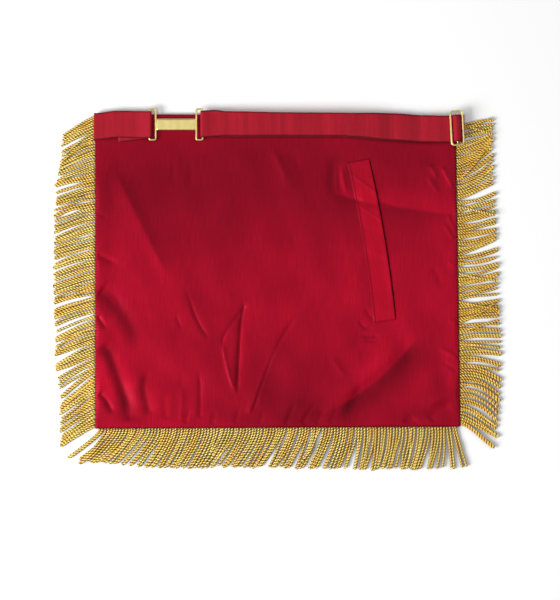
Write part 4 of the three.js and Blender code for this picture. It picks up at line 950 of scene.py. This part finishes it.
def makeFringe(side, seed):
    # each cord is a two-lobed section that turns as it is carried along its own curve: out of the seam, down
    # to the floor within a third of its length, and along the lean and bow that the edge's table gives; some
    # pairs of tips curve towards each other and meet in a loop
    start, end, turned = fringeEdges[side]
    run = end - start
    edgeLength = np.hypot(*run)
    along = run / edgeLength
    out = np.array([turned * run[1], -turned * run[0]]) / edgeLength
    trim = cords["trim"][side][0]
    lockFirst, lockLast = cords["lockTrim"][side]
    usable = edgeLength - sum(cords["trim"][side])
    count = int(round(usable / cords["pitch"][side] / 2)) * 2
    steps = cords["steps"][side]
    noise, vary = np.random.default_rng(seed), cords["vary"]
    n = np.arange(count)
    partner = n ^ 1
    place = trim + (n + 0.5) * usable / count + noise.normal(0, vary["place"], count)
    fringed = edgeLength - lockFirst - lockLast
    locks = max(1, round(fringed / cords["lockPitch"]))
    lockPitch = fringed / locks
    lock = np.clip(np.floor((place - lockFirst) / lockPitch), 0, locks - 1)
    lockPlace = lockFirst + (lock + 0.5) * lockPitch
    looped = np.repeat(noise.uniform(0, 1, count // 2) < cords["looped"], 2) & (lock == lock[partner])

    def shared(values):
        return np.where(looped, (values + values[partner]) / 2, values)

    lie = readTable(flowColumns, flows[side], lockPlace / edgeLength * 0.5 + place / edgeLength * 0.5)
    stray = noise.normal(0, cords["stray"][side], count)
    crossing = noise.uniform(0, 1, count) < cords["crossing"][side]
    stray = stray + crossing * noise.choice([-1, 1], count) * noise.uniform(*cords["across"][side], count)
    cord = lie["long"] * cords["length"]
    lean = shared((lie["lean"] + 0.03 * uneven(lock, 1) + stray) * cord)
    bow = shared(lie["bow"] + noise.normal(0, vary["bow"], count))
    reach = np.sqrt(cord**2 - lean**2) * (1 - 0.03 * np.abs(uneven(lock, 2)))
    reach = shared(reach * (1 - np.abs(noise.normal(0, vary["short"], count))))
    t = np.linspace(-0.05, 1, steps)[None, :]
    forward = np.clip(t, 0, None)
    swing = shared(noise.normal(0, vary["sway"], count))
    phase = shared(noise.uniform(1.2, 2.6, count))
    sway = swing[:, None] * np.sin(forward * np.pi * phase[:, None])
    gather = (lockPlace - place)[:, None] * cords["gather"][side] * 2 * smoothstep(forward, 0.1, 1)
    # hanging straight out of the seam for a few mm, and then at a steady slant
    bend = cords["rootBend"][side]
    soon = cords["rootStraight"]
    eased = forward - soon * (1 - np.exp(-forward / soon))
    slant = forward + (eased / (1 - soon) - forward) * bend["share"]
    arch = bow[:, None] * bend["arch"] * forward * (1 - forward)
    shift = (lean[:, None] * slant + 4 * arch * cords["length"]) + sway + gather
    position = place[:, None] + shift
    apart = (position[partner] - position) / 2
    closing = np.clip((t - 1 + cords["loopLength"]) / cords["loopLength"], 0, 1)
    position = position + np.where(looped[:, None], apart * (1 - np.sqrt(1 - closing**2)), 0)
    centre = start + along * position[..., None] + out * (t * reach[:, None])[..., None]
    radius = 2 * cords["plyRadius"]
    stack = shared((n % 2) * 0.5 + noise.uniform(0, 0.6, count))  # neighbours ride a little over each other
    stack = stack + 1.9 * shared(crossing)
    laid = smoothstep(forward, 0.02, 0.3)
    level = cords["rootHeight"] + (radius * 0.9 + stack[:, None] * smoothstep(forward, 0.15, 0.5)
                                   - cords["rootHeight"]) * laid
    level = level + 0.25 * np.sin(forward * 9 + n[:, None] // 2) ** 2 * laid
    heading = np.gradient(centre, axis=1)
    heading = heading / np.linalg.norm(heading, axis=-1, keepdims=True)
    sideways = np.stack([-heading[..., 1], heading[..., 0]], axis=-1)
    angles = np.radians([0, 48, 90, 132, 180, 228, 270, 312])
    lobes = cords["plyRadius"] * np.array([1.88, 1.7, 1.42, 1.7] * 2)
    groove = np.array([1, 0.5, 0, 0.5] * 2) - cords["cut"][side]
    turn = t * cords["length"] / cords["twistPitch"][side] * 2 * np.pi + noise.uniform(0, 6.28, (count, 1))
    tip = np.sqrt(np.clip(1 - (np.clip(t - 0.965, 0, None) / 0.0375) ** 2, 0.04, 1))
    tip = np.where(looped[:, None], 1, tip)
    thick = 1 + noise.normal(0, vary["thick"], (count, 1))
    reachOut = lobes * (tip * thick)[..., None]
    theta = angles + turn[..., None]
    points = np.empty((count, steps, 8, 3))
    points[..., :2] = centre[:, :, None, :] + sideways[:, :, None, :] * (reachOut * np.cos(theta))[..., None]
    pressed = 0.62 + 0.38 * smoothstep(t, -0.01, 0.08)[..., None]  # flattened where it is sewn in
    points[..., 2] = level[..., None] + reachOut * np.sin(theta) * pressed
    points[..., 2] = np.maximum(points[..., 2], 0.02)
    rings = gridFaces(steps, 8, closedColumns=True)[:, ::-1]
    capEnd = np.array([[0, 1, 2, 3], [0, 3, 4, 7], [4, 5, 6, 7]])
    one = np.concatenate([rings, capEnd[:, ::-1], capEnd + (steps - 1) * 8])
    faces = (one[None] + (n * steps * 8)[:, None, None]).reshape(-1, 4)
    shape = points.shape[:3]
    tone = np.clip(noise.normal(cords["tone"][side], vary["tone"], count), 0, 1)[:, None, None]
    upward = smoothstep(np.sin(theta), *cords["flank"][side])  # painted shade on the lower flanks, where the cords press on each other
    # painted shade also at the root, where the cord goes under the lining's edge
    unshaded = upward * (0.35 + 0.65 * smoothstep(t, -0.01, 0.04)[..., None])
    crown = np.broadcast_to(groove, shape)
    travel = np.broadcast_to((t * cords["length"] * mm)[..., None], shape) + np.cos(angles) * 0.0003
    name = "cords_" + side
    return makePiece(name, points, faces, "fringe_" + side, bullion,
                     attributes={"ply": crown, "shade": np.broadcast_to(tone, shape), "along": travel,
                                 "unshaded": unshaded})


bullion = bullionMaterial("bullion", cords)
fringePieces = [makeFringe("left", 3), makeFringe("bottom", 5), makeFringe("right", 8)]
print("fringe made")

# Belt: the same table and path as the solids, with finer steps. At is a share of the panel's width, drop
# how far the lower edge lies below the waist edge in webbing widths, roll the share of a quarter turn that
# the upper edge makes over it.
webbing = {
    "colour": (0.39, 0.0105, 0.024, 1),
    "width": 30.0,
    "thickness": 1.0,
    "gap": 0.3,
    "slack": 0.1,
    "rollRadius": 2.0,
    "rollStart": 0.15,
    "mostFlat": 0.92,
    "leftTab": 22.0,
    "rightTab": 28.0,
    "tabEase": 12.0,
    "doubledEnd": 35.0,
    "doubledSlip": 5.6,
    "returnSlip": 1.4,
    "foldShows": 0.7,
    "overWider": 1.25,  # the loop over the slider's middle bar is wider than it is tall
    "bendShades": [  # painted light where the band bends, painted shade below 0: mm from the left corner, half width, how much lighter (below 0 darker)
        (36, 7, -0.07), (58, 9, 0.05), (205, 12, -0.05), (262, 10, 0.05), (296, 9, -0.05),
        (324, 6, -0.24), (340, 7, 0.06), (357, 7, -0.22), (380, 9, 0.05),
    ],
    "stationStep": 2.2,
    "layColumns": ("at", "drop", "roll"),
    "lay": [
        (0, 0.975, 0),
        (0.062, 0.884, 0),
        (0.15, 0.9, 0),
        (0.29, 0.862, 0),
        (0.36, 0.793, 0.9),
        (0.53, 0.773, 1),
        (0.67, 0.769, 1),
        (0.72, 0.805, 1),
        (0.81, 0.91, 0.85),
        (0.9, 0.979, 0),
        (0.963, 0.99, 0),
        (1, 0.95, 0),
    ],
}
slider = {"width": 15.6, "height": 40.0, "bar": 2.2, "thickness": 1.8, "corner": 4.4, "centreBar": 1.6,
          "turn": 0.055, "overhang": 1.5, "raise": 0.1}
clasp = {"length": 59.4, "height": 36.4, "bar": 2.0, "thickness": 1.4, "slot": 5.0, "waist": 13.0,
         "at": 0.2217, "rise": 16.0}
giltColour = (0.83, 0.68, 0.27, 1)


def layerLevel(n):
    # middle of the nth layer of webbing above the lining
    step = webbing["thickness"] + webbing["gap"] + webbing["slack"]
    return seamTop + webbing["gap"] + webbing["thickness"] / 2 + n * step


def webbingLay(x):
    return readTable(webbing["layColumns"], webbing["lay"], (x - apron["left"]) / apron["width"])


def webbingMiddle(x):
    return waistEdge(x) - (webbingLay(x)["drop"] - 0.5) * webbing["width"]


claspX = apron["left"] + clasp["at"] * apron["width"]
claspWrap = np.hypot(clasp["bar"], clasp["thickness"]) / 2 + webbing["gap"] + webbing["thickness"] / 2
claspZ = layerLevel(0) + claspWrap
claspY = (webbingMiddle(claspX - clasp["length"] / 2) + webbingMiddle(claspX + clasp["length"] / 2)) / 2
sliderX = waistCorner[0] + slider["overhang"]
sliderY = webbingMiddle(sliderX) + slider["raise"]
sliderZ = (layerLevel(2) + webbing["thickness"] / 2 + webbing["gap"] + webbing["slack"]
           + slider["thickness"] / 2)
sliderWindow = slider["width"] / 2 - slider["bar"]


def stations(x, z):
    # rows of path x, path z, slip, depth inside the outer layer, and whether the slider's turn is left out
    return np.stack(np.broadcast_arrays(np.asarray(x, dtype=float), z, 0, 0, 0), axis=-1)


def halfTurn(x, z, radius, first, last, steps=14, wider=1.0):
    angle = np.linspace(first, last, steps)
    return stations(x + radius * wider * np.cos(angle), z + radius * np.sin(angle))


def stretch(fromX, fromZ, toX, toZ):
    share = np.linspace(0, 1, max(2, int(abs(toX - fromX) / webbing["stationStep"]) + 1))
    return stations(fromX + (toX - fromX) * share, fromZ + (toZ - fromZ) * share)


def rounded(path, times):
    # every inner station moves to the mean of itself and its neighbours, some times over
    path = path.copy()
    for _ in range(times):
        path[1:-1, :2] = path[1:-1, :2] * 0.5 + (path[:-2, :2] + path[2:, :2]) * 0.25
    return path


def webbingPoints(path, places, offset, skewed):
    # the band is flat up to the waist edge, then turns over it; offset is along its own normal
    x, z, slip, lower, straight = (path[:, i : i + 1] for i in range(5))
    slope = np.arctan2(np.gradient(path[:, 1]), np.gradient(path[:, 0]))[:, None]
    lay = webbingLay(x)
    drop, roll = lay["drop"], lay["roll"]
    flat = np.minimum(drop, webbing["mostFlat"]) * webbing["width"] + webbing["rollStart"]
    spread = np.minimum(places, 1) * flat + np.maximum(places - 1, 0) * (webbing["width"] - flat)
    length = spread - slip
    radius = webbing["rollRadius"] - lower
    bent = roll * np.maximum(length - flat, 0)
    angle = np.minimum(bent / radius, roll * np.pi / 2)
    hang = np.maximum(bent - angle * radius, 0)
    y = (waistEdge(x) - drop * webbing["width"] + np.minimum(length, flat)
         + (1 - roll) * np.maximum(length - flat, 0) + (radius + offset) * np.sin(angle)
         + hang * np.cos(angle))
    sink = radius * (1 - np.cos(angle)) + hang * np.sin(angle) - offset * np.cos(angle)
    skew = 0.0
    if skewed:
        near = smoothstep(x, sliderX - webbing["rightTab"] - 13, sliderX - slider["width"] / 2)
        skew = -(y - sliderY) * np.tan(slider["turn"]) * near * (1 - straight)
    ripple = 0.22 * np.sin(x * 0.13) + 0.16 * np.sin(x * 0.31 + 1)
    height = z - np.cos(slope) * sink + ripple * 0.5
    return np.stack([x + skew + np.sin(slope) * sink, y, height], axis=-1), spread


def makeWebbing(name, path, node, skewed):
    # two offset surfaces of the band, drawn together a little at its selvages
    places = np.concatenate([[0, 0.012, 0.04], np.linspace(0.09, 0.95, 12), [1.0],
                             1 + np.array([0.12, 0.25, 0.38, 0.5, 0.65, 0.8, 0.9, 0.965, 1.0])])[None, :]
    half = webbing["thickness"] / 2 * np.sqrt(1 - 0.75 * np.abs(1 - places) ** 14)
    under, spread = webbingPoints(path, places, -half, skewed)
    over, _ = webbingPoints(path, places, half, skewed)
    travel = np.concatenate([[0], np.cumsum(np.hypot(np.diff(path[:, 0]), np.diff(path[:, 1])))])
    uv = np.stack(np.broadcast_arrays(travel[:, None], spread), axis=-1)
    right = np.stack([under, over])[..., 0] - apron["left"]
    # painted light and shade where the band bends
    bent = 1 + sum(amount * bell(right - at, wide) for at, wide, amount in webbing["bendShades"])
    return makeSlab(name, under, over, uv, node, webbingCloth, {"bent": bent})


def leftPath():
    # sewn down at the corner, folded back over itself, and doubled round the clasp's left bar
    fold = (layerLevel(1) - layerLevel(0)) / 2
    edge = apron["left"] - webbing["thickness"] / 5
    bar = claspX - clasp["length"] / 2
    tail = stretch(bar, layerLevel(0), bar - webbing["doubledEnd"], layerLevel(0))
    tail[:, 2] = webbing["doubledSlip"] * (bar - tail[:, 0]) / webbing["doubledEnd"]
    return np.concatenate([
        stretch(apron["left"] + webbing["leftTab"], layerLevel(0), edge, layerLevel(0))[:-1],
        halfTurn(edge, layerLevel(0) + fold, fold, 1.5 * np.pi, 0.5 * np.pi),
        rounded(np.concatenate([
            stretch(edge, layerLevel(1), bar - clasp["rise"], layerLevel(1)),
            stretch(bar - clasp["rise"], layerLevel(1), bar, claspZ + claspWrap)[1:],
        ]), 6)[1:-1],
        halfTurn(bar, claspZ, claspWrap, 0.5 * np.pi, -0.5 * np.pi)[:-1],
        tail,
    ])


def rightPath():
    # sewn down at the corner, folded up through the slider and over its centre bar, along the waist edge,
    # round the clasp's right bar, and back underneath to end round the slider's centre bar
    bar = claspX + clasp["length"] / 2
    fold = (layerLevel(2) - layerLevel(0)) / 2
    foldX = sliderX + slider["width"] / 2 + webbing["foldShows"] - fold - webbing["thickness"] / 2
    endWrap = slider["centreBar"] / 2 + webbing["gap"] + webbing["thickness"] / 2
    overWrap = endWrap + webbing["thickness"] + webbing["gap"] + webbing["slack"]
    easeFrom = sliderX - webbing["rightTab"] - webbing["thickness"]
    easeTo = easeFrom - webbing["tabEase"]
    ease = (overWrap + sliderWindow) / 2
    nearZ = layerLevel(2) + 0.2 * (sliderZ - layerLevel(2))
    tab = np.concatenate([
        stretch(sliderX - webbing["rightTab"], layerLevel(0), foldX, layerLevel(0))[:-1],
        halfTurn(foldX, layerLevel(0) + fold, fold, -0.5 * np.pi, 0.5 * np.pi),
    ])
    tab[:, 4] = 1
    back = np.concatenate([
        stretch(bar, layerLevel(0), easeTo, layerLevel(0)),
        stretch(easeTo, layerLevel(0), easeFrom, layerLevel(1))[1:-1],
        stretch(easeFrom, layerLevel(1), sliderX - sliderWindow, layerLevel(1)),
        stations([sliderX - endWrap], [sliderZ - endWrap - webbing["gap"]]),
        halfTurn(sliderX, sliderZ, endWrap, -0.5 * np.pi, 0.5 * np.pi),
        stations([sliderX - webbing["gap"]], [sliderZ + endWrap]),
    ])
    slipping = (smoothstep(back[:, 0], bar, bar + 2 * clasp["rise"])
                - smoothstep(back[:, 0], easeTo - 4 * webbing["tabEase"], easeFrom))
    back[:, 2] = webbing["returnSlip"] * slipping
    back[:, 3] = webbing["thickness"] + webbing["gap"] + webbing["slack"]
    return np.concatenate([
        tab,
        stations([sliderX + ease], [nearZ]),
        halfTurn(sliderX, sliderZ, overWrap, 0.05, np.pi - 0.05, 16, webbing["overWider"]),
        stations([sliderX - ease], [nearZ]),
        rounded(np.concatenate([
            stretch(sliderX - sliderWindow, layerLevel(2), easeFrom, layerLevel(2)),
            stretch(easeFrom, layerLevel(2), easeTo, layerLevel(1))[1:-1],
            stretch(easeTo, layerLevel(1), bar + clasp["rise"], layerLevel(1)),
            stretch(bar + clasp["rise"], layerLevel(1), bar, claspZ + claspWrap)[1:],
        ]), 6)[:-1],
        halfTurn(bar, claspZ, claspWrap, 0.5 * np.pi, 1.5 * np.pi)[:-1],
        back,
    ])


webbingCloth = webbingMaterial("webbingCloth", webbing["colour"], 0.00085, webbing["width"] / 2 * mm, 0.0018)
makeWebbing("band_left", leftPath(), "belt_left", False)
makeWebbing("band_right", rightPath(), "belt_right", True)
print("webbing made")


# Slider and clasp: a round-edged bar carried along rounded rectangles
def roundedLoop(width, height, corner, cornerSteps):
    # the outline of a rounded rectangle, anticlockwise, with its outward normals
    quarter = np.linspace(0, np.pi / 2, cornerSteps)
    angle = np.concatenate([quarter - np.pi / 2, quarter, quarter + np.pi / 2, quarter + np.pi])
    signX = np.repeat([1, 1, -1, -1], cornerSteps)
    signY = np.repeat([-1, 1, 1, -1], cornerSteps)
    normal = np.stack([np.cos(angle), np.sin(angle)], axis=-1)
    middle = np.stack([signX * (width / 2 - corner), signY * (height / 2 - corner)], axis=-1)
    return middle + corner * normal, normal


def barSection(width, height, power, count):
    # a superellipse: between an oval and a rectangle
    angle = np.linspace(0, 2 * np.pi, count, endpoint=False)
    c, s = np.cos(angle), np.sin(angle)
    scale = (np.abs(c) ** power + np.abs(s) ** power) ** (-1 / power)
    return c * scale * width / 2, s * scale * height / 2


def frameLoop(width, height, corner, bar, thickness, cornerSteps=9):
    # the section's across axis follows the outline's normal, and its up axis is Z
    path, normal = roundedLoop(width - bar, height - bar, max(corner - bar / 2, 0.3), cornerSteps)
    across, up = barSection(bar, thickness, 3.0, 12)
    points = np.empty((len(path), 12, 3))
    points[..., :2] = path[:, None] + normal[:, None] * across[None, :, None]
    points[..., 2] = up
    return points, gridFaces(len(path), 12, True, True)


def straightBar(radius, reach, steps=10):
    # a round bar along Y, drawn in to a small ring at both ends
    angle = np.linspace(0, 2 * np.pi, 12, endpoint=False)
    y = np.linspace(-reach / 2, reach / 2, steps)[:, None]
    size = radius * np.where(np.abs(y) >= reach / 2 - 1e-6, 0.5, 1.0)
    points = np.stack(np.broadcast_arrays(size * np.cos(angle), y, size * np.sin(angle)), axis=-1)
    capFaces = np.array([[0, 1, 2, 11], [2, 3, 10, 11], [3, 4, 9, 10], [4, 5, 8, 9], [5, 6, 7, 8]])
    faces = gridFaces(steps, 12, closedColumns=True)[:, ::-1]
    return points, np.concatenate([faces, capFaces, capFaces[:, ::-1] + (steps - 1) * 12])


def joinShells(shells):
    # several closed shells as one list of points and faces
    points, faces, used = [], [], 0
    for shellPoints, shellFaces in shells:
        points.append(shellPoints.reshape(-1, 3))
        faces.append(shellFaces + used)
        used += len(points[-1])
    return np.concatenate(points), np.concatenate(faces)


def turnedTo(points, x, y, z, turn):
    c, s = np.cos(turn), np.sin(turn)
    return np.stack([x + c * points[:, 0] - s * points[:, 1], y + s * points[:, 0] + c * points[:, 1],
                     z + points[:, 2]], axis=-1)


def platePillow(width, height, thickness, rows=14, columns=24):
    # a low crowned plate: both faces are a superellipse drawn together at the rim
    v, u = np.meshgrid(np.linspace(-1, 1, rows), np.linspace(-1, 1, columns), indexing="ij")
    crown = np.clip((1 - np.abs(u) ** 6) * (1 - np.abs(v) ** 6), 0, 1) ** 0.4
    x, y = u * width / 2, v * height / 2
    level = thickness / 2 * (0.25 + 0.75 * crown)
    faces = [np.stack([x, y, z], axis=-1).reshape(-1, 3) for z in (level, -level)]
    return np.concatenate(faces), slabFaces(rows, columns)


gilt = giltMaterial("gilt", giltColour)


def makeSlider():
    shells = [
        frameLoop(slider["width"], slider["height"], slider["corner"], slider["bar"], slider["thickness"]),
        straightBar(slider["centreBar"] / 2, slider["height"] - slider["bar"]),
    ]
    points, faces = joinShells(shells)
    return makePiece("slider_metal", turnedTo(points, sliderX, sliderY, sliderZ, slider["turn"]), faces,
                     "belt_slider", gilt)


def makeClasp():
    loopWidth = clasp["slot"] + 2 * clasp["bar"]
    loopAt = clasp["length"] / 2 + clasp["bar"] / 2 - loopWidth / 2
    shells = []
    for side in (-1, 1):
        points, faces = frameLoop(loopWidth, clasp["height"], clasp["bar"] * 1.3, clasp["bar"],
                                  clasp["thickness"])
        shells.append((points + [side * loopAt, 0, 0], faces))
    shells.append(platePillow(2 * (loopAt - loopWidth / 2) + 1.5, clasp["waist"], clasp["thickness"]))
    points, faces = joinShells(shells)
    return makePiece("clasp_metal", turnedTo(points, claspX, claspY, claspZ, 0), faces,
                     "belt_clasp", gilt)


makeSlider()
makeClasp()
print("slider and clasp made")

# Floor, soft studio light and the camera, straight above
studio = {
    "floor": (1.0, 1.0, 1.0, 1),
    "floorSize": 6.0,
    "frameHeight": 0.6726,
    "distance": 2.6,
    "lookAt": (206.8, -208.3),  # mm from the top left corner
}
floorPoints = np.array([[-1, -1, 0], [1, -1, 0], [1, 1, 0], [-1, 1, 0]]) * studio["floorSize"] / 2
floorMesh = bpy.data.meshes.new("floor")
floorMesh.from_pydata(floorPoints.tolist(), [], [(0, 1, 2, 3)])
floorMesh.materials.append(newMaterial("paleFloor", Roughness=0.9, Base_Color=studio["floor"])[0])
floor = addObject("floor", floorMesh)


def softbox(name, place, size, watts):
    # a soft rectangular lamp turned to the middle of the floor
    light = bpy.data.lights.new(name, "AREA")
    light.shape = "RECTANGLE"
    light.size, light.size_y = size
    light.energy = watts
    lamp = addObject(name, light)
    lamp.location = place
    lamp.rotation_euler = (-Vector(place)).to_track_quat("-Z", "Y").to_euler()


softbox("key", (-2.0, -0.8, 1.45), (1.5, 1.5), 88)
softbox("fill", (1.6, 1.1, 1.6), (1.6, 1.6), 11)
softbox("top", (0, 0, 2.9), (3, 3), 22)
world = bpy.data.worlds.new("studio")
world.use_nodes = True
background = world.node_tree.nodes["Background"]
background.inputs["Color"].default_value = (1, 1, 1, 1)
background.inputs["Strength"].default_value = 0.16
bpy.context.scene.world = world
bpy.context.scene.view_settings.view_transform = "Standard"

cameraData = bpy.data.cameras.new("camera")
cameraData.sensor_width = 36
cameraData.lens = cameraData.sensor_width * studio["distance"] / studio["frameHeight"]
camera = addObject("camera", cameraData)
camera.location = ((apron["left"] + studio["lookAt"][0]) * mm, (apron["waist"] + studio["lookAt"][1]) * mm,
                   studio["distance"])
bpy.context.scene.camera = camera
print("studio made")
